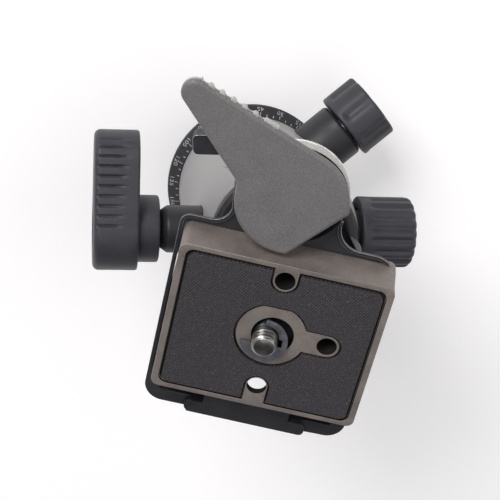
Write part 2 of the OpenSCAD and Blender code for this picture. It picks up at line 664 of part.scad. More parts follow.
// point along the arm's upper edge, measured from the tip
function upper_edge(s, out) = tip_at + (tip_r + out) * [cos(edge_up), sin(edge_up)]
    + s * [sin(edge_up), -cos(edge_up)];
grip_l = 22;
serrations = 6;
module lever() color("#77716f") on_clamp() at_pivot() difference() {
    union() {
        slab(lever_bottom, lever_top - 0.7) lever_plan(0);
        slab(lever_top - 0.7, lever_top - 0.3) lever_plan(-0.3);
        slab(lever_top - 0.3, lever_top) lever_plan(-0.8);
        // serrated grip under the arm's upper edge
        slab(lever_bottom - grip_t, lever_bottom + eps) {
            translate(tip_at) circle(r = tip_r);
            polygon([upper_edge(0, 0), upper_edge(grip_l, 0), upper_edge(grip_l, -3.4), upper_edge(0, -3.4)]);
        }
        // neck between the plate and the cam
        slab(cam_top - eps, lever_bottom + eps) difference() {
            circle(r = 11.4);
            flat_cut(lever_flat - 1);
        }
        // eccentric cam that wedges the plate's flank
        difference() {
            translate([0, -cam_off, cam_bottom])
                cylinder(r1 = cam_reach - cam_off, r2 = cam_reach - cam_off + cam_flare, h = cam_top - cam_bottom);
            slab(cam_bottom - 1, cam_top + 1) flat_cut(lever_flat + 0.2);
        }
    }
    for (i = [0 : serrations]) {
        p = upper_edge(1.4 + i * 3.4, 0.75);
        translate([p[0], p[1], lever_bottom - grip_t - 1]) cylinder(r = 1.3, h = grip_t + 1, $fn = 24);
    }
    disc(pivot_d / 2 + run_gap, cam_bottom - 1, lever_bottom - 1);
    disc(4.6, cam_bottom + 2, lever_bottom - 1);
    tube(7.4, 5.2, cam_bottom - 1, cam_bottom + 1.4);
}
module lever_pivot() color("#85878a") on_clamp() at_pivot() {
    disc(pivot_d / 2 - 0.5, floor_bottom + 0.2, floor_top);
    disc(pivot_d / 2, floor_top, cam_bottom + 2.2);
    disc(4.3, cam_bottom + 2.1, cam_bottom + 4.2);
}
module lever_spring() color("#8c8e90") on_clamp() at_pivot()
    coil(6.2, 0.4, floor_top - 1.6, cam_bottom + 0.9, 4);

// ---------- safety catch ----------
module safety_catch() color("#232327") on_clamp() translate(safety_at) rotate(safety_dir) difference() {
    union() {
        slab(safety_top - safety_t, safety_top) {
            circle(r = 3);
            plan(0, -2, 12, 2, 0.1, 0.1, 0.1, 0.1);
        }
        slab(safety_top - safety_tab_t, safety_top) plan(10.6, -2.55, 17, 2.55, 0.5, 1.2, 1.2, 0.5);
    }
    disc(1.1 + run_gap, 0, 60);
}
module safety_pivot() color("#85878a") on_clamp() translate(safety_at) {
    disc(1.08, floor_bottom + 0.2, safety_top + 0.1);
    disc(1.9, safety_top + 0.05, safety_top + 0.25);
}

// ---------- plate ----------
module flank_cut(s) rotate([90, 0, 90]) linear_extrude(plate_l + 2, center = true) polygon([
    [s * plate_w / 2, plate_top + 1], [s * plate_w / 2, flare_top], [s * foot_w / 2, flare_bottom],
    [s * foot_w / 2, plate_z0 - 1], [s * 40, plate_z0 - 1], [s * 40, plate_top + 1]]);
// lands that stay bare around the holes
module land(at, half, dir) translate(at) {
    circle(r = half);
    rotate(dir) translate([0, -half]) square([12, 2 * half]);
}
module lands(grow) {
    translate(hole_at) difference() {
        circle(d = boss_d + 2 * grow);
        translate([-20, boss_d / 2 - 0.5 + grow]) square([40, 10]);
    }
    land(accessory_at[0], 2.95 + grow, 90);
    land(accessory_at[1], 3.1 + grow, 180);
    land(accessory_at[2], 2.75 + grow, -90);
}
module plate() color("#7c746e") on_clamp() difference() {
    slab(plate_z0, plate_top) round_plan(plate_l, foot_w, plate_r);
    flank_cut(1);
    flank_cut(-1);
    // recess of the pad, around the bare lands
    slab(plate_top - pad_t, plate_top + 1) difference() {
        round_plan(plate_l - 2 * pad_rim, plate_w - 2 * pad_rim, plate_r);
        lands(0);
    }
    // hollow underside with bosses left around the holes
    slab(plate_z0 - 1, plate_top - plate_skin) difference() {
        round_plan(plate_l - 5, plate_w - 5, 3);
        for (p = [accessory_at[0], accessory_at[1], catch_at]) translate(p) circle(r = 4);
        for (s = [-1, 1]) translate([s * 17 - 0.8, -30]) square([1.6, 60]);
    }
    for (p = accessory_at) translate([p[0], p[1], 0]) disc(hole_d / 2, plate_z0 - 1, plate_top + 1);
    translate([hole_at[0], hole_at[1], 0]) disc(screw_hole_d / 2, plate_z0, plate_top + 1);
    // notch in the jaw side wall
    slab(plate_z0 - 1, plate_z0 + 4.6) translate([-4, -30]) square([9, 14]);
}
module plate_pad() color("#3e3d40") on_clamp() slab(plate_top - pad_t + seat_gap, plate_top - 0.12) difference() {
    round_plan(plate_l - 2 * pad_rim - 0.8, plate_w - 2 * pad_rim - 0.8, plate_r - 0.3);
    lands(0.3);
}
screw_head_z = plate_top - plate_skin - 0.6;
module camera_screw() color("#a8a6a2") on_clamp() translate([clip_at[0], clip_at[1], 0]) difference() {
    union() {
        disc(camera_d / 2, screw_head_z - 1, plate_top + camera_out - 0.8);
        translate([0, 0, plate_top + camera_out - 0.8]) cylinder(r1 = camera_d / 2, r2 = camera_d / 2 - 0.8, h = 0.8);
        disc(8, screw_head_z - 2, screw_head_z);
        // lugs that carry the D-ring
        for (s = [-1, 1]) translate([s * 5 - 1, -2, screw_head_z - 5.2]) cube([2, 4, 3.4]);
    }
    tube(camera_d / 2 + 1, camera_d / 2 - 0.5, plate_top + 0.25, plate_top + 1.05);
    translate([0, 0, screw_head_z - 3.7]) rotate([0, 90, 0]) cylinder(r = 0.95, h = 20, center = true);
    translate([-0.6, -9, screw_head_z - 2.5]) cube([1.2, 18, 1.3]);
}
module screw_clip() color("#8e8d8c") on_clamp() translate([clip_at[0], clip_at[1], 0]) difference() {
    tube(6.3, camera_d / 2 - 0.45, plate_top + 0.3, plate_top + 0.95);
    rotate(60) translate([0, -2.4, 0]) cube([10, 4.8, 90]);
}
module d_ring() color("#9b9a98") on_clamp() translate([clip_at[0], clip_at[1], screw_head_z - 3.7]) {
    rotate([0, 90, 0]) cylinder(r = 0.9, h = 14.6, center = true);
    intersection() {
        rotate_extrude() translate([7.3, 0]) circle(r = 0.9, $fn = 24);
        translate([-10, -10, -2]) cube([20, 10, 4]);
    }
}

base_plate();
thread_bush();
scale_ring();
pan_washer();
pan_retainer();
retainer_screws();
housing();
mouth_collar();
seat_cup();
seat_spring();
lock_boss();
friction_boss();
pan_boss();
lock_shoe();
friction_shoe();
friction_spring();
pan_shoe();
lock_knob();
lock_spindle();
lock_nut();
friction_knob();
friction_spindle();
pan_knob();
pan_spindle();
seat_liner();
ball();
receiver();
clamp_screw();
lever_pivot();
catch_plug();
catch_pin();
catch_spring();
lever();
lever_spring();
safety_catch();
safety_pivot();
plate();
plate_pad();
camera_screw();
screw_clip();
d_ring();
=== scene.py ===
import math
import bpy
import bmesh
from mathutils import Matrix, Vector


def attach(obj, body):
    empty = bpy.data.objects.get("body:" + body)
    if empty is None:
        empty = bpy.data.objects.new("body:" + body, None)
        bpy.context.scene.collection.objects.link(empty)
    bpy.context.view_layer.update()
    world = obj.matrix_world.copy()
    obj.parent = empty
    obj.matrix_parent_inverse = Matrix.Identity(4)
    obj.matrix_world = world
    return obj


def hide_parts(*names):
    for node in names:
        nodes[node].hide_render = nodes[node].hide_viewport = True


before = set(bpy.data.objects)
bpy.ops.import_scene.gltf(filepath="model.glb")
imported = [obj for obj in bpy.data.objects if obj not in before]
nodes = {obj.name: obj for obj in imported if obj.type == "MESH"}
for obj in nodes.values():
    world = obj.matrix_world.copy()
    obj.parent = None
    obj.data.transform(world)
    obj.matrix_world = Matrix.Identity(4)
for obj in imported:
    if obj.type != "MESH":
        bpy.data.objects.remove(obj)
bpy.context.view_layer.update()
scene = bpy.context.scene
mm = 0.001


def turn(axis, degrees):
    return Matrix.Rotation(math.radians(degrees), 4, axis)


def shift(x, y, z):
    return Matrix.Translation((x * mm, y * mm, z * mm))


def hexColour(text):
    out = []
    for i in (1, 3, 5):
        v = int(text[i:i + 2], 16) / 255
        out.append(v / 12.92 if v <= 0.04045 else ((v + 0.055) / 1.055) ** 2.4)
    return (*out, 1)


def addNode(tree, kind, inputs={}, **settings):
    node = tree.nodes.new(kind)
    for key, value in settings.items():
        setattr(node, key, value)
    for key, value in inputs.items():
        if isinstance(value, bpy.types.NodeSocket):
            tree.links.new(value, node.inputs[key])
        else:
            node.inputs[key].default_value = value
    return node


def addObject(name, data):
    item = bpy.data.objects.new(name, data)
    scene.collection.objects.link(item)
    return item


def settledMesh(item):
    # the object's mesh with all its modifiers applied
    return bpy.data.meshes.new_from_object(item.evaluated_get(bpy.context.evaluated_depsgraph_get()))


# places of the moving groups at rest
ballSpace = shift(0, 0, 75) @ turn("Y", -11.5) @ turn("X", 16)
clampSpace = ballSpace @ turn("Z", -10.5)
leverSpace = clampSpace @ shift(-3, 36.6, 0)
lockSpace = shift(0, 0, 68) @ turn("Y", -90)
frictionSpace = shift(0, 0, 68) @ turn("Y", 90)
panSpace = shift(0, 0, 27) @ turn("Z", 41) @ turn("Y", 90)

cameraSetup = {
    "place": (-59.35, 89.63, 416.74),  # mm
    "right": (0.98975, 0.04971, 0.1339),
    "up": (-0.01247, 0.96398, -0.26568),
    "back": (-0.14228, 0.26129, 0.95472),
    "lens": 93.6,
}
cameraData = bpy.data.cameras.new("studioCamera")
cameraData.lens = cameraSetup["lens"]
cameraData.sensor_width = 36
cameraData.clip_start = 0.02
cameraData.clip_end = 20
camera = addObject("studioCamera", cameraData)
look = Matrix((cameraSetup["right"], cameraSetup["up"], cameraSetup["back"])).transposed().to_4x4()
camera.matrix_world = shift(*cameraSetup["place"]) @ look
scene.camera = camera

# a white table under a broad ceiling light, with a softer light up on the left
lightSetup = {
    "world": "#F1F3F8",
    "worldStrength": 0.2,
    "lamps": [  # name, power, size in m, place in m
        ("ceilingLight", 17.2, 2.2, (0.05, 0.0, 2.2)),
        ("windowLight", 11.0, 0.6, (-0.6, 0.72, 0.95)),
        ("cardLight", 1.2, 0.6, (0.75, 0.1, 0.5)),
    ],
    "aim": (0, 0, 0.06),
    "table": "#EEECEC",
    "tableHalf": 3,
    "tableRoughness": 0.75,
    "tableGlow": 0.3,  # the white acrylic table is lit from below too, so shadows stay faint
}
scene.view_settings.view_transform = "Standard"
world = bpy.data.worlds.new("softStudio")
world.use_nodes = True
world.node_tree.nodes["Background"].inputs[0].default_value = hexColour(lightSetup["world"])
world.node_tree.nodes["Background"].inputs[1].default_value = lightSetup["worldStrength"]
scene.world = world
for name, power, size, place in lightSetup["lamps"]:
    data = bpy.data.lights.new(name, "AREA")
    data.energy = power
    data.size = size
    lamp = addObject(name, data)
    lamp.location = place
    lamp.rotation_mode = "QUATERNION"
    lamp.rotation_quaternion = (Vector(lightSetup["aim"]) - Vector(place)).to_track_quat("-Z", "Y")

tableMaterial = bpy.data.materials.new("whiteTable")
tableMaterial.use_nodes = True
tableShader = tableMaterial.node_tree.nodes["Principled BSDF"]
tableShader.inputs["Base Color"].default_value = hexColour(lightSetup["table"])
tableShader.inputs["Roughness"].default_value = lightSetup["tableRoughness"]
tableShader.inputs["Emission Color"].default_value = hexColour(lightSetup["table"])
tableShader.inputs["Emission Strength"].default_value = lightSetup["tableGlow"]
tableMesh = bpy.data.meshes.new("tableTop")
half = lightSetup["tableHalf"]
tableMesh.from_pydata([(-half, -half, 0), (half, -half, 0), (half, half, 0), (-half, half, 0)], [],
                      [(0, 1, 2, 3)])
tableMesh.materials.append(tableMaterial)
tableTop = addObject("tableTop", tableMesh)
print("camera, light and table ready")


noiseLow, noiseHigh = 0.35, 0.65  # most of a noise pattern's values lie between these


def newFinish(name):
    material = bpy.data.materials.new(name)
    material.use_nodes = True
    tree = material.node_tree
    place = addNode(tree, "ShaderNodeTexCoord").outputs["Object"]
    return material, tree, tree.nodes["Principled BSDF"], place


def partPlace(tree, place, space):
    # coordinates that lie along a part's own axes
    inverse = space.inverted()
    return addNode(tree, "ShaderNodeMapping", {
        "Vector": place, "Location": inverse.translation, "Rotation": inverse.to_euler()}).outputs[0]


def joinShader(tree, shader, colour, rough, normal):
    for label, output in (("Base Color", colour), ("Roughness", rough), ("Normal", normal)):
        tree.links.new(output, shader.inputs[label])


def grainedFinish(name, dark, light, roughness, bumps, speck=0.4, cloud=5, speckShare=0.55, metallic=0.0,
                  gloss=0.5, bare=None, bareRoughness=0.35, patch=1.4):
    # two tones in a fine speckle over broad clouds; bumps are pairs of size and depth in mm;
    # bare is the pale colour where the piece's edgeWearAndHighlight attribute is high: a rubbed-through coat,
    # and on the lever's edges a painted highlight
    material, tree, shader, place = newFinish(name)
    fine = addNode(tree, "ShaderNodeTexNoise", {
        "Vector": place, "Scale": 1 / (speck * mm), "Detail": 2}).outputs[0]
    broad = addNode(tree, "ShaderNodeTexNoise", {
        "Vector": place, "Scale": 1 / (cloud * mm), "Detail": 3}).outputs[0]
    broad = addNode(tree, "ShaderNodeMapRange", {
        "Value": broad, "From Min": noiseLow, "From Max": noiseHigh}).outputs[0]
    fine = addNode(tree, "ShaderNodeMapRange", {
        "Value": fine, "From Min": 0.3, "From Max": 0.7, "To Max": speckShare}).outputs[0]
    tone = addNode(tree, "ShaderNodeMath", {0: broad, 1: 1 - speckShare, 2: fine},
                   operation="MULTIPLY_ADD").outputs[0]
    colour = addNode(tree, "ShaderNodeMix", {0: tone, 6: hexColour(dark), 7: hexColour(light)},
                     data_type="RGBA").outputs[2]
    rough = addNode(tree, "ShaderNodeMapRange", {
        "Value": broad, "To Min": roughness[0], "To Max": roughness[1]}).outputs[0]
    shader.inputs["Metallic"].default_value = metallic
    if bare:
        edge = addNode(tree, "ShaderNodeAttribute", attribute_name="edgeWearAndHighlight").outputs["Fac"]
        breakUp = addNode(tree, "ShaderNodeTexNoise", {
            "Vector": place, "Scale": 1 / (patch * mm), "Detail": 5, "Roughness": 0.65}).outputs[0]
        rubbed = addNode(tree, "ShaderNodeMath", {0: breakUp, 1: 1.6, 2: -0.8},
                         operation="MULTIPLY_ADD").outputs[0]
        rubbed = addNode(tree, "ShaderNodeMath", {0: edge, 1: rubbed}, operation="ADD").outputs[0]
        rubbed = addNode(tree, "ShaderNodeMath", {0: rubbed, 1: edge}, operation="MULTIPLY").outputs[0]
        rubbed = addNode(tree, "ShaderNodeMapRange", {
            "Value": rubbed, "From Min": 0.25, "From Max": 0.6}, interpolation_type="SMOOTHSTEP").outputs[0]
        colour = addNode(tree, "ShaderNodeMix", {0: rubbed, 6: colour, 7: hexColour(bare)},
                         data_type="RGBA").outputs[2]
        rough = addNode(tree, "ShaderNodeMix", {0: rubbed, 2: rough, 3: bareRoughness}).outputs[0]
        shine = addNode(tree, "ShaderNodeMapRange", {
            "Value": rubbed, "To Min": metallic, "To Max": 0.7}).outputs[0]
        tree.links.new(shine, shader.inputs["Metallic"])
    if metallic == 0:
        shader.inputs["Specular IOR Level"].default_value = gloss
    normal = None
    for size, depth in bumps:
        lumps = addNode(tree, "ShaderNodeTexNoise", {
            "Vector": place, "Scale": 1 / (size * mm), "Detail": 2}).outputs[0]
        layers = {"Height": lumps, "Distance": depth * mm}
        if normal:
            layers["Normal"] = normal
        normal = addNode(tree, "ShaderNodeBump", layers).outputs[0]
    joinShader(tree, shader, colour, rough, normal)
    return material


def turnedSteel(name, space, dark="#8F8C88", light="#BDBAB5", roughness=(0.24, 0.42), ringGap=0.12,
                ringDepth=0.004, stainSize=3):
    # bright steel cut on a lathe: fine rings round the piece catch the light in narrow lines
    material, tree, shader, place = newFinish(name)
    stretched = addNode(tree, "ShaderNodeMapping", {
        "Vector": partPlace(tree, place, space), "Scale": (0.02, 0.02, 1)}).outputs[0]
    rings = addNode(tree, "ShaderNodeTexNoise", {
        "Vector": stretched, "Scale": 1 / (ringGap * mm), "Detail": 4}).outputs[0]
    stain = addNode(tree, "ShaderNodeTexNoise", {
        "Vector": place, "Scale": 1 / (stainSize * mm), "Detail": 3}).outputs[0]
    stain = addNode(tree, "ShaderNodeMapRange", {
        "Value": stain, "From Min": noiseLow, "From Max": noiseHigh}).outputs[0]
    colour = addNode(tree, "ShaderNodeMix", {0: stain, 6: hexColour(dark), 7: hexColour(light)},
                     data_type="RGBA").outputs[2]
    rough = addNode(tree, "ShaderNodeMapRange", {
        "Value": rings, "From Min": 0.3, "From Max": 0.7,
        "To Min": roughness[0], "To Max": roughness[1]}).outputs[0]
    normal = addNode(tree, "ShaderNodeBump", {"Height": rings, "Distance": ringDepth * mm}).outputs[0]
    joinShader(tree, shader, colour, rough, normal)
    shader.inputs["Metallic"].default_value = 1.0
    return material


# satin powder coat on die cast aluminium: near black with a soft pebble, silver where edges are rubbed
blackCoat = grainedFinish("satinPowderCoat", "#252528", "#313135", (0.42, 0.54),
                          [(0.9, 0.012), (0.22, 0.006)], gloss=0.4, bare="#BFC1C6")
# light grey lacquer sprayed on the cast housing: smooth satin over a faint cast pebble
domeLacquer = grainedFinish("greySatinLacquer", "#8C8989", "#9C9999", (0.42, 0.55),
                            [(1.4, 0.01), (0.3, 0.006)], cloud=9)
# textured grey lacquer on the lever: a dry, fine sparkle; its pale metal edge colour is a painted highlight
# along the top edge
leverLacquer = grainedFinish("texturedLeverLacquer", "#636060", "#7D7979", (0.45, 0.6),
                             [(0.5, 0.02), (0.2, 0.014)], speck=0.35, speckShare=0.85, bare="#C9C4BD",
                             bareRoughness=0.4)
# a paler copy of the lever's finish on its grip band and cam: painted highlight on side faces that face the
# light, with a sugary grain
leverSideHighlight = grainedFinish("leverSidePaintedHighlight", "#9C9995", "#CFCCC8", (0.42, 0.58),
                          [(0.45, 0.03), (0.16, 0.012)], speck=0.25, speckShare=0.8, metallic=0.3,
                          bare="#EDEBE8", bareRoughness=0.35)
# bead blasted, dark anodised aluminium: taupe with a dry metallic sheen, pale where the arris is rubbed
plateAnodised = grainedFinish("beadBlastedAnodised", "#726A66", "#938982", (0.45, 0.6),
                              [(0.35, 0.014), (0.14, 0.008)], speck=0.3, cloud=7, metallic=0.35,
                              bare="#D5CFC8", bareRoughness=0.4, patch=2.5)
# the same anodising painted nearly black and dull as shade down in the pad's groove and the holes
paintedShadeAnodised = grainedFinish("anodisedPaintedShade", "#161615", "#2B2926", (0.7, 0.85), [(0.3, 0.02)], gloss=0.2)
# spark eroded glass filled nylon: blue grey satin with a fine tooth
knobNylon = grainedFinish("sparkErodedNylon", "#333338", "#424248", (0.42, 0.54),
                          [(0.6, 0.012), (0.2, 0.008)], gloss=0.4)
# zinc plated spring steel: cool grey with small dull patches
zincSteel = grainedFinish("zincPlatedSteel", "#6C6D72", "#96979C", (0.3, 0.46), [(0.8, 0.004), (0.15, 0.003)],
                          cloud=2, metallic=1.0)
# phosphated spring steel of the clip: bluish mid grey and dull
clipSteel = grainedFinish("phosphatedSpringSteel", "#5C5D64", "#7A7B82", (0.42, 0.56), [(0.4, 0.004)],
                          cloud=2, metallic=0.7)
# black oxide on alloy steel: blue black and oily; also painted as shade on the camera screw's thread low in
# the plate
blackOxideAndShade = grainedFinish("blackOxideSteelAndShade", "#26272A", "#3B3C40", (0.3, 0.5), [(0.5, 0.004)], cloud=2,
                           metallic=0.8)
# hard chrome on the ball: a mirror with a faint polishing haze
hardChrome = grainedFinish("hardChrome", "#C4C6C8", "#D6D8DA", (0.1, 0.2), [(4, 0.002)], cloud=7,
                           metallic=1.0)
# sintered bronze shoes and pins: golden brown, slightly porous
bronze = grainedFinish("sinteredBronze", "#8A6A34", "#AD8A4A", (0.3, 0.48), [(0.3, 0.01)], cloud=2,
                       metallic=1.0)
# moulded acetal liner and washer: milky white and waxy
acetal = grainedFinish("mouldedAcetal", "#D6D2C8", "#E4E1D8", (0.34, 0.46), [(0.7, 0.006)], cloud=6)
# worn white ink in the dial's lines and numbers
dialInk = grainedFinish("wornDialInk", "#7E8085", "#C9CACD", (0.5, 0.6), [(0.3, 0.004)], cloud=1.5)
# bright turned steel, once for each direction that its rings run round
baseSteelAndHighlight, lockSteel, frictionSteel, panSteel = [turnedSteel("turnedSteel" + name, space) for name, space in (
    ("Base", Matrix()), ("Lock", lockSpace), ("Friction", frictionSpace), ("Pan", panSpace))]
# zinc plated steel of the camera screw, greyer from handling
screwSteel = turnedSteel("turnedSteelScrew", clampSpace, "#5C5A57", "#86837E")

# the lattice's pitch and depth in mm, coarser than the real moulding so it shows
padSetup = {
    "pitch": 0.58, "angles": (33, -57), "depth": 0.07, "pit": "#302E30", "peak": "#5E5A5D", "dust": "#8B8682",
    "speck": 0.3, "dustSize": 0.5, "rubSize": 6, "bands": 20,
}


def gripRubber(name, s):
    # moulded rubber with a fine raised lattice: dark grey, each point tipped with a dull light speck
    material, tree, shader, place = newFinish(name)
    local = partPlace(tree, place, clampSpace)
    waves = []
    for angle in s["angles"]:
        turned = addNode(tree, "ShaderNodeMapping", {
            "Vector": local, "Rotation": (0, 0, math.radians(angle))})
        waves.append(addNode(tree, "ShaderNodeTexWave", {
            "Vector": turned.outputs[0], "Scale": math.tau / s["bands"] / (s["pitch"] * mm),
            "Distortion": 1.5, "Detail": 2, "Detail Scale": 1.5}).outputs["Fac"])
    points = addNode(tree, "ShaderNodeMath", {0: waves[0], 1: waves[1]}, operation="MULTIPLY").outputs[0]
    specks = addNode(tree, "ShaderNodeTexNoise", {
        "Vector": place, "Scale": 1 / (s["speck"] * mm), "Detail": 1}).outputs[0]
    specks = addNode(tree, "ShaderNodeMapRange", {
        "Value": specks, "From Min": noiseLow, "From Max": 0.7}).outputs[0]
    tone = addNode(tree, "ShaderNodeMath", {0: points, 1: specks}, operation="MULTIPLY").outputs[0]
    tone = addNode(tree, "ShaderNodeMath", {0: tone, 1: 1.3, 2: 0.08}, operation="MULTIPLY_ADD").outputs[0]
    colour = addNode(tree, "ShaderNodeMix", {0: tone, 6: hexColour(s["pit"]), 7: hexColour(s["peak"])},
                     data_type="RGBA").outputs[2]
    dust = addNode(tree, "ShaderNodeTexNoise", {
        "Vector": place, "Scale": 1 / (s["dustSize"] * mm), "Detail": 3}).outputs[0]
    dust = addNode(tree, "ShaderNodeMapRange", {
        "Value": dust, "From Min": 0.62, "From Max": 0.8, "To Max": 0.5}).outputs[0]
    colour = addNode(tree, "ShaderNodeMix", {0: dust, 6: colour, 7: hexColour(s["dust"])},
                     data_type="RGBA").outputs[2]
    rubbed = addNode(tree, "ShaderNodeTexNoise", {
        "Vector": place, "Scale": 1 / (s["rubSize"] * mm), "Detail": 3}).outputs[0]
    rough = addNode(tree, "ShaderNodeMapRange", {
        "Value": rubbed, "From Min": noiseLow, "From Max": noiseHigh,
        "To Min": 0.55, "To Max": 0.72}).outputs[0]
    normal = addNode(tree, "ShaderNodeBump", {"Height": points, "Distance": s["depth"] * mm}).outputs[0]
    joinShader(tree, shader, colour, rough, normal)
    shader.inputs["Specular IOR Level"].default_value = 0.3
    return material


padRubber = gripRubber("latticeGripRubber", padSetup)

# which solids each finish is on
finishNodes = [
    (blackCoat, "base_plate scale_ring mouth_collar lock_boss friction_boss pan_boss receiver safety_catch"),
    (domeLacquer, "housing"), (leverLacquer, "lever"), (plateAnodised, "plate"), (padRubber, "plate_pad"),
    (knobNylon, "lock_knob friction_knob pan_knob"), (hardChrome, "ball"), (screwSteel, "camera_screw"),
    (baseSteelAndHighlight, "thread_bush pan_retainer seat_cup"), (lockSteel, "lock_spindle lock_nut"),
    (frictionSteel, "friction_spindle"), (panSteel, "pan_spindle"), (clipSteel, "screw_clip"),
    (blackOxideAndShade, "retainer_screws clamp_screw"), (bronze, "lock_shoe pan_shoe catch_pin"),
    (acetal, "pan_washer friction_shoe seat_liner"), (zincSteel, "seat_spring friction_spring lever_pivot"),
    (zincSteel, "catch_plug catch_spring lever_spring safety_pivot d_ring"),
]
for finish, names in finishNodes:
    for name in names.split():
        nodes[name].data.materials.clear()
        nodes[name].data.materials.append(finish)
print("finishes made:", len(bpy.data.materials))


def finishPiece(name, mesh, finishes, body, standsFor=(), slot=None, sharp=34):
    indices = [face.material_index for face in mesh.polygons]
    mesh.materials.clear()
    for finish in finishes:
        mesh.materials.append(finish)
    mesh.polygons.foreach_set("material_index", indices)
    mesh.shade_smooth()
    mesh.set_sharp_from_angle(angle=math.radians(sharp))
    piece = addObject(name, mesh)
    # flat faces keep their own normals beside rounded edges
    even = piece.modifiers.new("evenShade", "WEIGHTED_NORMAL")
    even.keep_sharp = True
    shaded = settledMesh(piece)
    piece.modifiers.clear()
    piece.data = shaded
    shaded.name = name
    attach(piece, body)
    if standsFor:
        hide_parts(*standsFor)
    print("piece", name, len(shaded.polygons), "faces")


mergeGap = 0.002  # mm, points closer than this are one point


def softEdged(node, name, body, slot, finishes, s, space=Matrix(), wear=None, coat=None, mesh=None):
    # a solid's copy, or the given mesh, with rounded edges; wear gives how far a place on an edge is rubbed,
    # from 0 to 1, and coat gives the number of a face's finish
    if mesh:
        mesh.transform(space)
    mesh = mesh or nodes[node].data.copy()
    mesh.name = name
    inverse = space.inverted()
    bm = bmesh.new()
    bm.from_mesh(mesh)
    bmesh.ops.remove_doubles(bm, verts=bm.verts, dist=mergeGap * mm)
    bmesh.ops.dissolve_degenerate(bm, edges=bm.edges, dist=2 * mergeGap * mm)
    bmesh.ops.dissolve_limit(bm, angle_limit=math.radians(0.4), verts=bm.verts, edges=bm.edges)
    for face in bm.faces:
        face.material_index = coat(inverse @ face.calc_center_median() / mm) if coat else 0
    hard = [e for e in bm.edges if len(e.link_faces) == 2
            and e.calc_face_angle(0) > math.radians(s.get("angle", 32))]
    made = bmesh.ops.bevel(bm, geom=hard, offset=s["width"] * mm, offset_type="OFFSET", segments=2,
                           profile=0.5, affect="EDGES", clamp_overlap=False, loop_slide=True,
                           harden_normals=False)
    layer = bm.verts.layers.float.new("edgeWearAndHighlight")
    rounded = set(made["faces"])
    if wear:
        for vert in {v for f in rounded for v in f.verts}:
            if all(f in rounded for f in vert.link_faces):
                vert[layer] = wear(inverse @ vert.co / mm)
    bmesh.ops.triangulate(bm, faces=[f for f in bm.faces if len(f.verts) > 4])
    bmesh.ops.recalc_face_normals(bm, faces=bm.faces)
    bm.to_mesh(mesh)
    bm.free()
    finishPiece(name, mesh, finishes, body, [node], slot, s.get("sharp", 34))


def loft(rings, flatCaps=False):
    # a closed skin over rings of points in mm, all with the same count
    bm = bmesh.new()
    count = len(rings[0])
    verts = [[bm.verts.new(Vector(p) * mm) for p in ring] for ring in rings]
    for a, b in zip(verts, verts[1:]):
        for i in range(count):
            j = (i + 1) % count
            bm.faces.new((a[i], a[j], b[j], b[i]))
    for ring in (verts[0], verts[-1]):
        if flatCaps:
            bm.faces.new(ring)
            continue
        centre = bm.verts.new(sum((v.co for v in ring), Vector()) / count)
        for i in range(count):
            bm.faces.new((ring[i], ring[(i + 1) % count], centre))
    bmesh.ops.remove_doubles(bm, verts=bm.verts, dist=0.001 * mm)
    bmesh.ops.recalc_face_normals(bm, faces=bm.faces)
    return bm


def bmMesh(bm, name, space=Matrix()):
    bm.transform(space)
    mesh = bpy.data.meshes.new(name)
    bm.to_mesh(mesh)
    bm.free()
    return mesh


def fade(x, low, high, softLow, softHigh):
    a = min(max((x - low) / softLow, 0), 1)
    b = min(max((high - x) / softHigh, 0), 1)
    return a * a * (3 - 2 * a) * b * b * (3 - 2 * b)


knobSharp = 40  # degrees, a knob's softer bends are shaded smooth


def innerEdgeRings(s, ring):
    # a quarter round from the inner face to the flank
    angles = [math.pi / 2 * k / 4 for k in range(5)]
    return [ring(s["inner"] + s["innerEdge"] * (1 - math.cos(a)), s["innerEdge"] * (1 - math.sin(a)))
            for a in angles]


def outerEdgeRings(s, ring, outer):
    # a quarter round from the flank to the outer face
    angles = [math.pi / 2 * k / 7 for k in range(8)]
    return [ring(outer - s["outerEdge"] * (1 - math.sin(a)), s["outerEdge"] * (1 - math.cos(a)))
            for a in angles]


# lock knob: a lobed grip with soft moulded scallops on its flanks
lockGrip = {
    "hub": 11.6, "lobe": 8.4, "lobeOut": 19, "inner": 39.2, "outer": 51.4,
    "ribs": 10, "ribPitch": 2.67, "ribFirst": 1.4, "ribDepth": 0.62, "ribStart": 40.6, "ribSlant": 2.1,
    "ribEnd": 51.1, "ribSharpness": 1.15, "ribLean": 0.5, "ribMargin": 1.4, "ribSoft": (4.5, 1.6),
    "innerEdge": 0.6, "outerEdge": 1.7, "recess": 5.4, "recessDepth": 2.6, "bore": 3, "collar": 9.3,
    "collarEnd": 33.4, "points": 420, "steps": 34,
}


def lobedOutline(s):
    # points, outward normals and distance along the flank, round a hub circle joined to a lobe circle
    lean = math.asin((s["hub"] - s["lobe"]) / s["lobeOut"])
    straight = s["lobeOut"] * math.cos(lean)
    lobeArc = s["lobe"] * (math.pi / 2 - lean)
    hubArc = s["hub"] * (math.pi / 2 + lean)
    half = lobeArc + straight + hubArc
    out = []
    for i in range(s["points"]):
        walk = (i / s["points"]) * 2 * half
        side = 1 if walk < half else -1
        d = walk if side == 1 else 2 * half - walk  # from the lobe's top down to the hub's bottom
        if d < lobeArc:
            a = math.pi / 2 - d / s["lobe"]
            n = (math.cos(a), math.sin(a))
            p = (s["lobe"] * n[0], s["lobeOut"] + s["lobe"] * n[1])
        elif d < lobeArc + straight:
            k = 1 - (d - lobeArc) / straight
            n = (math.cos(lean), math.sin(lean))
            p = (s["hub"] * n[0] - straight * k * n[1], s["hub"] * n[1] + straight * k * n[0])
        else:
            a = lean - (d - lobeArc - straight) / s["hub"]
            n = (math.cos(a), math.sin(a))
            p = (s["hub"] * n[0], s["hub"] * n[1])
        out.append((side * p[0], p[1], side * n[0], n[1], lobeArc + straight - d))
    return out


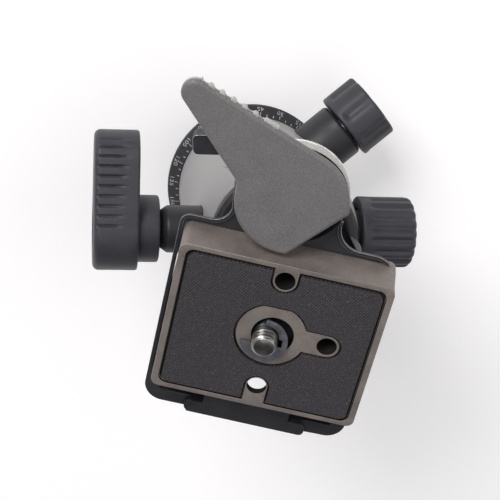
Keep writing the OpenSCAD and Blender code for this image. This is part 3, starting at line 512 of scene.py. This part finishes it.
def makeLockKnob(s):
    outline = lobedOutline(s)
    last = s["ribFirst"] + (s["ribs"] - 1) * s["ribPitch"]
    span = (s["ribFirst"] - s["ribMargin"], last + s["ribMargin"])

    def ring(z, inset):
        points = []
        for x, y, nx, ny, u in outline:
            dip = 0
            if span[0] < u < span[1]:
                phase = math.tau * (u - s["ribFirst"]) / s["ribPitch"]
                wave = 0.5 + 0.5 * math.cos(phase + s["ribLean"] * math.pi * math.sin(phase))
                begin = s["ribStart"] + s["ribSlant"] * (1 - (u - s["ribFirst"]) / (last - s["ribFirst"]))
                dip = s["ribDepth"] * wave ** s["ribSharpness"] * fade(z, begin, s["ribEnd"], *s["ribSoft"])
                dip *= fade(u, *span, 0.4, 0.4)
            k = inset + dip
            points.append((x - nx * k, y - ny * k, z))
        return points

    def circle(z, r):
        return [(r * x / math.hypot(x, y), r * y / math.hypot(x, y), z) for x, y, nx, ny, u in outline]

    floor = s["outer"] - s["recessDepth"]
    rings = [circle(s["collarEnd"], s["bore"] + 0.02), circle(s["collarEnd"], s["collar"] - 0.7),
             circle(s["collarEnd"] + 0.2, s["collar"] - 0.2), circle(s["collarEnd"] + 0.7, s["collar"]),
             circle(s["inner"] - 0.5, s["collar"]), circle(s["inner"], s["collar"] + 0.02)]
    rings += innerEdgeRings(s, ring)
    low = s["inner"] + s["innerEdge"]
    high = s["outer"] - s["outerEdge"]
    rings += [ring(low + (high - low) * k / s["steps"], 0) for k in range(1, s["steps"])]
    rings += outerEdgeRings(s, ring, s["outer"])
    rings += [circle(s["outer"], s["recess"] + 0.3), circle(s["outer"] - 0.3, s["recess"]),
              circle(floor, s["recess"]), circle(floor - 0.01, s["bore"])]
    finishPiece("lockKnobGrip", bmMesh(loft(rings), "lockKnobGrip", lockSpace), [knobNylon], "lock_knob",
                ["lock_knob"], "grip", knobSharp)


makeLockKnob(lockGrip)

# friction knob and pan knob: round grips with moulded flutes
frictionGrip = {
    "name": "frictionKnobGrip", "node": "friction_knob", "radius": 10, "inner": 22.5, "length": 15.6,
    "crown": 1.3, "innerEdge": 0.5, "outerEdge": 1.9, "flutes": 18, "fluteDepth": 0.62, "fluteStart": 24.5,
    "sharpness": 1.6, "spindle": 3.02, "bore": 6.72, "boreDepth": 4, "points": 432, "steps": 24,
}
panGrip = {
    "name": "panKnobGrip", "node": "pan_knob", "radius": 10.6, "inner": 34.5, "length": 11.4, "crown": 0.5,
    "innerEdge": 0.6, "outerEdge": 0.9, "flutes": 7, "fluteDepth": 0.8, "fluteStart": 35.3, "sharpness": 3.2,
    "spindle": 3.02, "bore": 3.02, "boreDepth": 0.1, "points": 336, "steps": 24,
}


def makeRoundKnob(s, space, body):
    outer = s["inner"] + s["length"]
    angles = [math.tau * i / s["points"] for i in range(s["points"])]

    def ring(z, inset):
        points = []
        for a in angles:
            wave = (0.5 + 0.5 * math.cos(s["flutes"] * a)) ** s["sharpness"]
            r = s["radius"] - inset - s["fluteDepth"] * wave * fade(z, s["fluteStart"], outer + 9, 2.2, 2.2)
            points.append((r * math.cos(a), r * math.sin(a), z))
        return points

    def circle(z, r):
        return [(r * math.cos(a), r * math.sin(a), z) for a in angles]

    floor = s["inner"] + s["boreDepth"]
    rings = [circle(floor, s["spindle"]), circle(floor, s["bore"]), circle(s["inner"], s["bore"] + 0.05)]
    rings += innerEdgeRings(s, ring)
    low = s["inner"] + s["innerEdge"]
    rings += [ring(low + (outer - s["outerEdge"] - low) * k / s["steps"], 0) for k in range(1, s["steps"])]
    rings += outerEdgeRings(s, ring, outer)
    rim = ring(outer, s["outerEdge"])
    for k in range(1, 8):
        f = 1 - k / 8
        rings.append([(x * f, y * f, outer + s["crown"] * (1 - f * f)) for x, y, z in rim])
    rings.append(circle(outer + s["crown"], 0.4))
    finishPiece(s["name"], bmMesh(loft(rings), s["name"], space), [knobNylon], body, [s["node"]], "grip",
                knobSharp)


makeRoundKnob(frictionGrip, frictionSpace, "friction_knob")
makeRoundKnob(panGrip, panSpace, "pan_knob")


# clamp: receiver, lever, plate and catch with rounded edges, pale where rubbed; the lever's pale edge lines
# are painted highlight
def arcPoints(arcs, grow=0):
    # an outline is a row of arcs joined by straight edges: centre, radius, and the outward direction at its
    # first and last point; a hollow arc has a negative radius, a corner point has none
    points = []
    for x, y, r, first, last in arcs:
        count = max(1, math.ceil(abs(last - first) / 5))
        grown = r + grow
        if r > 0 > grown:  # the corner has shrunk to a point
            middle = math.radians((first + last) / 2)
            grown /= math.cos(math.radians((last - first) / 2))
            points += [(x + grown * math.cos(middle), y + grown * math.sin(middle))] * (count + 1)
            continue
        for i in range(count + 1):
            a = math.radians(first + (last - first) * i / count)
            points.append((x + grown * math.cos(a), y + grown * math.sin(a)))
    return points


def roundBox(x0, y0, x1, y1, r):
    return [(x0 + r, y0 + r, r, 180, 270), (x1 - r, y0 + r, r, 270, 360), (x1 - r, y1 - r, r, 0, 90),
            (x0 + r, y1 - r, r, 90, 180)]


def prism(arcs, low, high, grow=0, place=Matrix()):
    points = arcPoints(arcs, grow)
    return bmMesh(loft([[(x, y, z) for x, y in points] for z in (low, high)], True), "prism", place)


def rod(x, y, r, low, high):
    return prism([(x, y, r, 0, 355)], low, high)


def carve(mesh, adds=(), cuts=()):
    holder = addObject("carving", mesh)
    tools = []
    for operation, parts in (("UNION", adds), ("DIFFERENCE", cuts)):
        for part in parts:
            tool = addObject("tool", part)
            tools.append(tool)
            step = holder.modifiers.new("carve", "BOOLEAN")
            step.operation = operation
            step.object = tool
    done = settledMesh(holder)
    for item in [holder, *tools]:
        bpy.data.objects.remove(item)
    return done


clampForm = {
    "pivot": (-3, 36.1), "tower": 13.95, "floorLow": 34.5, "floorTop": 38.2, "rimTop": 41.5, "jawTop": 43.6,
    "left": -27.45, "right": 25.65, "top": 24.8, "bottom": -31.6, "frontCorner": 5, "rightCorner": 5.5,
    "leftCorner": 2.6,
    # hollow corners beside the tower: centre, radius, first and last direction
    "rightHollow": (16.23, 30.8, -6, 90, -10.6), "leftHollow": (-20.25, 28.95, -4.15, 180, 90),
    "towerEdge": (31.9, 36.9),
    "lip": 0.9, "lipStep": 0.7, "lipStart": 19, "drawIn": ((34.5, -4.2), (38.1, -1.65)),  # height and inset
    "jaw": (-16.4, 15.4, 3.4), "jawSlot": (-11.8, 10.7), "window": (9, 30, 40.25),
    "rails": (66.4, 22.9), "leverWell": 13.45, "leverDisc": 10.2, "pockets": ((-23.5, -16.3), (15.3, 21.8)),
    "catchArm": (-11.8, -1.8, 45.5, 35.9), "catchEye": (-11.8, 45, 3.2), "pinBoss": (14, 16, 4.7, 27.5),
    "thumbDip": (-17.7, 2.6, 3.2, 0.4), "near": 0.3,
}


def makeReceiver(s):
    px, py = s["pivot"]
    above = 60  # well above the clamp
    low, floor, back = s["floorLow"], s["floorTop"], s["bottom"]
    r, q, f = s["rightCorner"], s["leftCorner"], s["frontCorner"]
    corners = [(s["right"] - r, s["top"] - r, r, 0, 90), s["rightHollow"],
               *[(px, y, 0, 90, 90) for y in s["towerEdge"]], (px, py, s["tower"], 176.7, 180),
               s["leftHollow"], (s["left"] + q, s["top"] - q, q, 90, 180)]
    jawSide = [(s["left"] + f, back + f, f, 180, 270), (s["right"] - f, back + f, f, 270, 360)]
    # below the rim the outer wall draws in, most of all on the lever's side
    rings = [[(x, y, z) for x, y in arcPoints(jawSide, grow * 0.2) + arcPoints(corners, grow)]
             for z, grow in (*s["drawIn"], (s["rimTop"] - s["lipStep"], 0), (s["rimTop"], 0))]
    body = bmMesh(loft(rings, True), "receiverBody")
    step = [(s["left"], s["lipStart"], 0, 180, 180), (s["right"], s["lipStart"], 0, 0, 0), *corners]
    left, right, deep = s["jaw"]
    slotLeft, slotRight = s["jawSlot"]
    jaw = carve(prism(roundBox(left, back - 0.1, right, back + deep, 1.3), low, s["jawTop"]),
                [prism(roundBox(slotLeft, back + 1, slotRight, -22.1, 0.1), 40.3, s["jawTop"])])
    armLeft, armRight, armEnd, armTop = s["catchArm"]
    adds = [jaw, rod(px, py, s["leverDisc"], 36.2, floor), rod(*s["catchEye"], low, armTop),
            prism(roundBox(armLeft, py, armRight, armEnd, 0.1), low, armTop), rod(*s["pinBoss"], low + 0.01)]
    length, width = s["rails"]
    half, windowLow, windowTop = s["window"]
    cuts = [prism(roundBox(-26.4, -width, length, width, 2), floor, above),
            rod(px, py, s["leverWell"], floor, above),
            prism(step, s["rimTop"] - s["lipStep"], above, -s["lip"]),
            prism(roundBox(-half, back + deep + 0.05, half, -19.9, 1), windowLow, windowTop)]
    cuts += [prism(roundBox(a, back + deep, b, -21.5, 0.1), floor, above)
             for a, b in ((left, slotLeft), (slotRight, right))]
    cuts += [prism(roundBox(a, -28, b, -21.9, 0.4), floor, above) for a, b in s["pockets"]]
    x, y, radius, sunk = s["thumbDip"]
    cuts.append(rod(x, back + y, radius, s["jawTop"] - sunk, above))

    def wear(p):
        # the rim's raised lip is rubbed most
        if abs(p.z - s["rimTop"]) < s["near"] and p.y > 20:
            return 1
        if abs(p.z - s["jawTop"]) < s["near"]:
            return 0.15
        return 0.6 if p.z > 40 and p.y > 10 else 0.1

    softEdged("receiver", "receiverCasting", "clamp", "black_paint", [blackCoat], {"width": 0.16}, clampSpace,
              wear, mesh=carve(body, adds, cuts))


makeReceiver(clampForm)

leverForm = {
    "round": 13.4, "flat": 9.8, "flatAt": -40, "corner": 0.9, "tip": (-27.08, 22.01), "tipRadius": 3.2,
    "up": 68.9, "low": 222.8, "side": 187, "hollow": 2.5, "top": 47, "under": 45.4, "gripLow": 44.3,
    "gripTop": 46.35, "grip": 20, "gripIn": -0.4, "teeth": 6, "pitch": 2.95, "tooth": 1.3, "toothOut": 0.62,
    "toothFan": 61, "gripRoot": -3.4, "firstTooth": 0.7, "armAt": 20.5, "camLow": 38.5, "camTop": 42.3,
    "cam": (0.2, 0.1, 13.15), "camNeck": 11.4, "camSweep": (-0.6, 280.6),
    "set": -0.5,  # how far it sits from its pivot
}


def makeLever(s):
    f = s["corner"]
    swing = math.degrees(math.acos((s["flat"] - f) / (s["round"] - f)))
    a, b = (math.radians(s["flatAt"] + k * swing) for k in (-1, 1))
    reach = s["round"] - f
    # the hollow between the arm's lower edge and the short side
    hollow = Matrix(((math.cos(math.radians(s["low"])), math.sin(math.radians(s["low"]))),
                     (math.cos(math.radians(s["side"])), math.sin(math.radians(s["side"])))))
    tipX, tipY = s["tip"]
    lowOut = Vector(s["tip"]).dot(hollow[0]) + s["tipRadius"]
    hx, hy = hollow.inverted() @ Vector((lowOut + s["hollow"], s["round"] + s["hollow"]))
    face = [(0, 0, s["round"], s["side"], 360 + s["flatAt"] - swing),
            (reach * math.cos(a), reach * math.sin(a), f, s["flatAt"] - swing, s["flatAt"]),
            (reach * math.cos(b), reach * math.sin(b), f, s["flatAt"], s["flatAt"] + swing),
            (0, 0, s["round"], s["flatAt"] + swing, s["armAt"]),
            (0.2, 1.2, s["round"] - 0.6, s["armAt"], s["up"]),
            (tipX, tipY, s["tipRadius"], s["up"], s["low"]), (hx, hy, -s["hollow"], s["low"], s["side"])]
    up = math.radians(s["up"])

    def edgeAt(along, out):
        k = s["tipRadius"] + out
        return (tipX + k * math.cos(up) + along * math.sin(up),
                tipY + k * math.sin(up) - along * math.cos(up))

    grip = [(*edgeAt(s["grip"], s["gripRoot"]), 0, s["up"] - 90, s["up"] - 90),
            (*edgeAt(s["grip"], -s["gripIn"]), 0, s["up"], s["up"])]
    grip += [(*edgeAt(s["firstTooth"] + i * s["pitch"], s["toothOut"] - s["gripIn"]), -s["tooth"],
              s["up"] + s["toothFan"], s["up"] - s["toothFan"]) for i in reversed(range(s["teeth"]))]
    grip += [(tipX, tipY, s["tipRadius"] - 0.02, s["up"], s["low"])]
    levels = [(s["under"], -0.12), (s["under"] + 0.12, 0), (s["top"] - 0.75, 0), (s["top"] - 0.5, -0.07),
              (s["top"] - 0.28, -0.24), (s["top"] - 0.1, -0.52), (s["top"], -0.85)]
    shells = [  # outline, heights with their inset, finish
        (face, levels, 0),
        # the grip band and the cam take the paler finish as painted highlight
        (grip, [(s["gripLow"], -0.25), (s["gripLow"] + 0.25, 0), (s["gripTop"], 0)], 1),
        ([(0, 0, s["camNeck"], -0.5, 280.5)], [(s["camTop"] - 0.1, 0), (s["under"] + 0.05, 0)], 1),
        ([(*s["cam"], *s["camSweep"])], [
            (s["camLow"], -0.3), (s["camLow"] + 0.3, 0), (s["camTop"] - 0.25, 0),
            (s["camTop"] - 0.07, -0.08), (s["camTop"], -0.25)], 1),
    ]
    bm = bmesh.new()
    wear = bm.verts.layers.float.new("edgeWearAndHighlight")
    for arcs, rings, finish in shells:
        part = loft([[(x, y, z) for x, y in arcPoints(arcs, grow)] for z, grow in rings], True)
        # the cam's top face takes the nearly black finish as painted shadow under the lever plate
        for shellFace in part.faces:
            camTopShadow = (shellFace.calc_center_median().z > (s["camTop"] - 0.02) * mm > rings[0][0] * mm
                     and rings[-1][0] == s["camTop"])
            shellFace.material_index = 2 if camTopShadow else finish
        bm.from_mesh(bmMesh(part, "leverShell", shift(0, s["set"], 0)))
    # pale lines along the top edge, the grip's lower edge and the cam's lower rim are painted highlight
    for vert in bm.verts:
        z = vert.co.z / mm
        if s["top"] - 0.6 < z < s["top"] - 0.2:
            vert[wear] = 0.5
        elif s["gripLow"] <= z <= s["gripLow"] + 0.1 or z <= s["camLow"] + 0.35:
            vert[wear] = 0.8
    bmesh.ops.triangulate(bm, faces=[q for q in bm.faces if len(q.verts) > 4])
    finishPiece("leverCasting", bmMesh(bm, "leverCasting", leverSpace),
                [leverLacquer, leverSideHighlight, paintedShadeAnodised], "lever", ["lever"], "lever_grey", 40)


makeLever(leverForm)


plateForm = {
    "half": 26.1, "foot": 22.6, "width": 21.25, "low": 38.5, "top": 49, "flank": (40.5, 45), "corner": 2,
    "recess": 48, "recessCorner": 2.2, "rim": 1.25, "rimEnd": 1.65, "padGap": 0.75, "padTop": 49.4,
    "padCorner": 1.9, "hollow": (23.6, 18.75, 3, 46.8), "post": 4, "pin": (14, 16), "hole": 2.45,
    "holes": ((0, 16.9), (14, 1.2), (0, -14.9)), "centreHole": (0.5, 1, 5.2),
    # raised lands round the centre and round each hole
    "land": (0.15, 1, 8.65), "landFlat": 8.95, "lands": (2.95, 3.1, 2.75), "slot": (-4, 5, -16),
}


def landTools(s, grow):
    low, high = 47, 51  # from under the recess to above the pad
    x, y, radius = s["land"]
    circle = carve(prism([(x, y, radius + grow, 0, 355)], low, high),
                   cuts=[prism(roundBox(-20, s["landFlat"] + grow, 20, 20, 0.1), low - 1, high + 1)])
    back, side, front = [r + grow for r in s["lands"]]
    (backX, backY), (sideX, sideY), (frontX, frontY) = s["holes"]
    return [circle,
            prism([(backX, backY, back, 180, 360), (back, 30, 0, 0, 0), (-back, 30, 0, 0, 0)], low, high),
            prism([(sideX, sideY, side, -90, 90), (2, sideY + side, 0, 0, 0), (2, sideY - side, 0, 0, 0)],
                  low, high),
            prism([(frontX, frontY, front, 0, 180), (-front, -30, 0, 0, 0), (front, -30, 0, 0, 0)],
                  low, high)]


def makePlate(s):
    below, above = 30, 60  # well below and above the plate
    rings = []
    flankLow, flankTop = s["flank"]
    for z, half in ((s["low"], s["foot"]), (flankLow, s["foot"]), (flankTop, s["width"]),
                    (s["top"], s["width"])):
        outline = roundBox(-s["half"], -half, s["half"], half, s["corner"])
        rings.append([(x, y, z) for x, y in arcPoints(outline)])
    body = bmMesh(loft(rings, True), "plateBody")
    inner = (s["half"] - s["rimEnd"], s["width"] - s["rim"])
    recess = carve(prism(roundBox(-inner[0], -inner[1], *inner, s["recessCorner"]), s["recess"], 51),
                   cuts=landTools(s, 0))
    x, y, corner, roof = s["hollow"]
    hollow = carve(prism(roundBox(-x, -y, x, y, corner), 37, roof),
                   cuts=[rod(x, y, s["post"], 36, 50) for x, y in (*s["holes"][:2], s["pin"])])
    left, right, back = s["slot"]
    cuts = [recess, hollow, *[rod(x, y, s["hole"], below, above) for x, y in s["holes"]],
            rod(*s["centreHole"], below, above), prism(roundBox(left, -30, right, back, 0.1), 37, flankTop)]

    def wear(p):
        # the long arris beside the lever and the left end are rubbed pale
        if p.z > s["top"] - 0.5:
            return 0.9 if p.x < -24 else 0.55 if p.y > 20 else 0.35
        return 0.4 if p.x < -24 else 0.2

    def coat(p):
        # the groove round the pad and the holes get the nearly black finish as painted shade
        if p.z > s["top"] - 0.1:
            return 0
        if p.z > s["recess"] - 0.5 and abs(p.x) < inner[0] + 0.1 and abs(p.y) < inner[1] + 0.1:
            return 1
        x, y, radius = s["centreHole"]
        inCentre = math.hypot(p.x - x, p.y - y) < radius + 0.8
        inHole = any(math.hypot(p.x - x, p.y - y) < s["hole"] + 0.55 for x, y in s["holes"])
        return 1 if inCentre or inHole else 0

    softEdged("plate", "cameraPlate", "clamp", "plate_alloy", [plateAnodised, paintedShadeAnodised], {"width": 0.14},
              clampSpace, wear, coat, carve(body, cuts=cuts))
    gap = s["padGap"]
    padShape = roundBox(gap - inner[0], gap - inner[1], inner[0] - gap, inner[1] - gap, s["padCorner"])
    pad = carve(prism(padShape, s["recess"] + 0.02, s["padTop"]), cuts=landTools(s, 0.45))
    softEdged("plate_pad", "platePad", "clamp", "pad", [padRubber], {"width": 0.18}, clampSpace, mesh=pad)


makePlate(plateForm)

# spring clip round the camera screw: a flat, tilted C
clipForm = {
    "centre": (-1.2, 0.5), "offset": -0.9, "radius": 5.8, "bore": 3.4, "thick": 0.6, "height": 49.55,
    "tilt": -5, "gap": (-10.6, -1, -0.6, 11, 0.2), "notch": (2.2, -0.9, 4.4, 1.2, 0.3),
}


def makeClip(s):
    x, y = s["centre"]
    tilted = shift(x, y + s["offset"], s["height"]) @ turn("X", s["tilt"])
    disc = prism([(0, 0, s["radius"], 0, 355)], 0, s["thick"], place=tilted)
    cuts = [prism(roundBox(*s[part]), -2, 3, place=tilted) for part in ("gap", "notch")]
    cuts.append(rod(x, y, s["bore"], 44, 54))
    softEdged("screw_clip", "springClip", "camera_screw", "steel", [clipSteel], {"width": 0.1}, clampSpace,
              mesh=carve(disc, cuts=cuts))


makeClip(clipForm)

# the catch is pale on all its rounded edges, partly real rubbing and partly painted highlight
softEdged("safety_catch", "catchTab", "safety_catch", "black_paint", [blackCoat], {"width": 0.16}, clampSpace,
          lambda p: 1)

# solids whose shape is right only get rounded edges, widths in mm
roundedParts = [
    ("mouth_collar", "mouthCollar", "housing", "black_paint", blackCoat, {"width": 0.15}),
    ("housing", "domeHousing", "housing", "grey_paint", domeLacquer,
     {"width": 0.2, "sharp": 50, "angle": 40}),
    ("lock_boss", "lockNeck", "housing", "black_paint", blackCoat, {"width": 0.3}),
    ("pan_boss", "panCollar", "housing", "black_paint", blackCoat, {"width": 0.3}),
    ("base_plate", "baseDisc", "base", "black_paint", blackCoat, {"width": 0.3}),
    ("scale_ring", "dialRing", "base", "black_paint", blackCoat, {"width": 0.1}),
]
for node, name, body, slot, finish, settings in roundedParts:
    softEdged(node, name, body, slot, [finish], settings)

# camera screw: a rolled 1/4 inch thread on the flanged head
threadForm = {
    "major": 3.175, "root": 2.62, "pitch": 1.27, "bottom": 45.7, "top": 54, "chamfer": 0.6, "chamferIn": 0.75,
    "crest": 0.88, "flank": 0.72, "around": 72, "perPitch": 14, "centre": (-1.2, 0.5), "shadedBelow": 49.8,
}


def makeCameraScrew(s):
    rings = []
    count = int((s["top"] - s["bottom"]) / s["pitch"] * s["perPitch"])
    for k in range(count + 1):
        z = s["bottom"] + (s["top"] - s["bottom"]) * k / count
        limit = s["major"] - max(0, z - (s["top"] - s["chamfer"])) / s["chamfer"] * s["chamferIn"]
        points = []
        for i in range(s["around"]):
            a = math.tau * i / s["around"]
            phase = (z / s["pitch"] - a / math.tau) % 1
            crest = min(1, max(0, (s["crest"] - abs(phase - 0.5) * 2) / s["flank"]))
            r = min(s["root"] + (s["major"] - s["root"]) * crest, limit)
            points.append((s["centre"][0] + r * math.cos(a), s["centre"][1] + r * math.sin(a), z))
        rings.append(points)
    stem = bmMesh(loft(rings), "cameraScrewThread", clampSpace)
    # flange and lugs come from the solid, without its plain stem
    bm = bmesh.new()
    bm.from_mesh(nodes["camera_screw"].data)
    bmesh.ops.remove_doubles(bm, verts=bm.verts, dist=mergeGap * mm)
    inverse = clampSpace.inverted()
    tall = [f for f in bm.faces if (inverse @ f.calc_center_median()).z > (s["bottom"] + 0.02) * mm]
    bmesh.ops.delete(bm, geom=tall, context="FACES")
    bm.from_mesh(stem)
    for face in bm.faces:
        z = (inverse @ face.calc_center_median()).z / mm
        # the end chamfer takes the brighter turned steel as a painted highlight ring
        chamferHighlight = s["top"] - s["chamfer"] < z < s["top"] - 0.01
        # the thread low in the plate takes the dark oxide as painted shade
        face.material_index = 1 if z < s["shadedBelow"] else 2 if chamferHighlight else 0
    finishPiece("cameraScrewSteel", bmMesh(bm, "cameraScrewSteel"), [screwSteel, blackOxideAndShade, baseSteelAndHighlight],
                "camera_screw", ["camera_screw"], "steel", 40)


makeCameraScrew(threadForm)

# coil springs: a round wire wound along a helix
catchCoil = {"radius": 2.3, "wire": 0.35, "low": 31.55, "high": 33.75, "turns": 3.5, "spot": (14, 16)}
leverCoil = {"radius": 6.2, "wire": 0.4, "low": 36.7, "high": 39.3, "turns": 2.75, "spot": (-3, 36.6)}


def startTree(name, inputs):
    # a Geometry Nodes tree with a named input for each label, kind and value
    tree = bpy.data.node_groups.new(name, "GeometryNodeTree")
    tree.interface.new_socket("Geometry", in_out="OUTPUT", socket_type="NodeSocketGeometry")
    sockets = []
    for label, kind, value in inputs:
        socket = tree.interface.new_socket(label, in_out="INPUT", socket_type=kind)
        socket.default_value = value
        sockets.append(socket)
    return tree, sockets, addNode(tree, "NodeGroupInput").outputs


def runTree(name, tree, sockets, geometry, finish):
    # the tree's result as a plain mesh
    real = addNode(tree, "GeometryNodeRealizeInstances", {"Geometry": geometry}).outputs[0]
    finished = addNode(tree, "GeometryNodeSetMaterial", {"Geometry": real, "Material": finish}).outputs[0]
    addNode(tree, "NodeGroupOutput", {0: finished})
    holder = addObject(name + "Maker", bpy.data.meshes.new(name + "Maker"))
    holder.modifiers.new("maker", "NODES").node_group = tree
    for socket in sockets:
        holder.modifiers[0][socket.identifier] = socket.default_value
    mesh = settledMesh(holder)
    bpy.data.objects.remove(holder)
    return mesh


def makeCoil(name, node, s):
    tree, sockets, given = startTree(name, [
        ("Coil radius", "NodeSocketFloat", s["radius"] * mm),
        ("Height", "NodeSocketFloat", (s["high"] - s["low"]) * mm),
        ("Turns", "NodeSocketFloat", s["turns"]), ("Wire radius", "NodeSocketFloat", s["wire"] * mm)])
    helix = addNode(tree, "GeometryNodeCurveSpiral", {
        "Resolution": 48, "Rotations": given["Turns"], "Start Radius": given["Coil radius"],
        "End Radius": given["Coil radius"], "Height": given["Height"]}).outputs[0]
    section = addNode(tree, "GeometryNodeCurvePrimitiveCircle", {
        "Resolution": 12, "Radius": given["Wire radius"]}).outputs[0]
    wire = addNode(tree, "GeometryNodeCurveToMesh", {
        "Curve": helix, "Profile Curve": section, "Fill Caps": True}).outputs[0]
    mesh = runTree(name, tree, sockets, wire, zincSteel)
    mesh.transform(clampSpace @ shift(*s["spot"], s["low"]))
    finishPiece(name, mesh, [zincSteel], "clamp", [node], "steel", 40)


makeCoil("catchSpringCoil", "catch_spring", catchCoil)
makeCoil("leverSpringCoil", "lever_spring", leverCoil)

# dial: lines and plain numbers on the scale ring
dial = {
    "radius": 26.5, "innerRadius": 23.4, "low": 12.2, "high": 15.6, "lift": 0.02, "thick": 0.04,
    "shortLine": 0.9, "longLine": 1.5, "lineWidth": 0.26, "shortLines": 72, "longLines": 24,
    "shortDown": 0.75, "longDown": 1.05, "numberStep": 15, "numberSize": 2.3, "numberUp": 1.45,
    "firstAngle": 41,
}
coneLean = math.degrees(math.atan2(dial["high"] - dial["low"], dial["radius"] - dial["innerRadius"]))
coneLength = math.hypot(dial["high"] - dial["low"], dial["radius"] - dial["innerRadius"])


def onDial(angle, up):
    # a frame on the cone: x along the rim, y up the slope, z outwards
    flat = turn("Z", angle + 90) @ shift(0, -dial["radius"], dial["low"]) @ turn("X", coneLean)
    return flat @ shift(0, up, dial["lift"])


def makeDialLines(name, count, length, down):
    tree, sockets, given = startTree(name, [
        ("Count", "NodeSocketInt", count), ("Length", "NodeSocketFloat", length * mm),
        ("Width", "NodeSocketFloat", dial["lineWidth"] * mm),
        ("Thickness", "NodeSocketFloat", dial["thick"] * mm)])
    boxSize = addNode(tree, "ShaderNodeCombineXYZ", {
        0: given["Width"], 1: given["Length"], 2: given["Thickness"]}).outputs[0]
    bar = addNode(tree, "GeometryNodeMeshCube", {"Size": boxSize}).outputs["Mesh"]
    place = onDial(0, coneLength - down)
    laid = addNode(tree, "GeometryNodeTransform", {
        "Geometry": bar, "Translation": place.translation, "Rotation": place.to_euler()}).outputs[0]
    row = addNode(tree, "GeometryNodeMeshLine", {"Count": given["Count"], "Offset": (0, 0, 0)}).outputs[0]
    index = addNode(tree, "GeometryNodeInputIndex").outputs[0]
    step = addNode(tree, "ShaderNodeMath", {0: math.tau, 1: given["Count"]}, operation="DIVIDE").outputs[0]
    angle = addNode(tree, "ShaderNodeMath", {0: index, 1: step, 2: math.radians(dial["firstAngle"])},
                    operation="MULTIPLY_ADD").outputs[0]
    spin = addNode(tree, "ShaderNodeCombineXYZ", {2: angle}).outputs[0]
    copies = addNode(tree, "GeometryNodeInstanceOnPoints", {
        "Points": row, "Instance": laid, "Rotation": spin}).outputs[0]
    finishPiece(name, runTree(name, tree, sockets, copies, dialInk), [dialInk], "base")


def makeDialNumbers(s):
    bm = bmesh.new()
    for k in range(0, 360, s["numberStep"]):
        letters = bpy.data.curves.new("number", "FONT")
        letters.body = str(k if k <= 180 else 360 - k)
        letters.size = s["numberSize"] * mm
        letters.align_x = "CENTER"
        letters.align_y = "CENTER"
        letters.extrude = s["thick"] / 2 * mm
        letters.resolution_u = 3
        holder = addObject("number", letters)
        flat = settledMesh(holder)
        flat.transform(onDial(s["firstAngle"] + k, s["numberUp"]))
        bm.from_mesh(flat)
        bpy.data.objects.remove(holder)
    finishPiece("dialNumbers", bmMesh(bm, "dialNumbers"), [dialInk], "base")


makeDialLines("dialShortLines", dial["shortLines"], dial["shortLine"], dial["shortDown"])
makeDialLines("dialLongLines", dial["longLines"], dial["longLine"], dial["longDown"])
makeDialNumbers(dial)
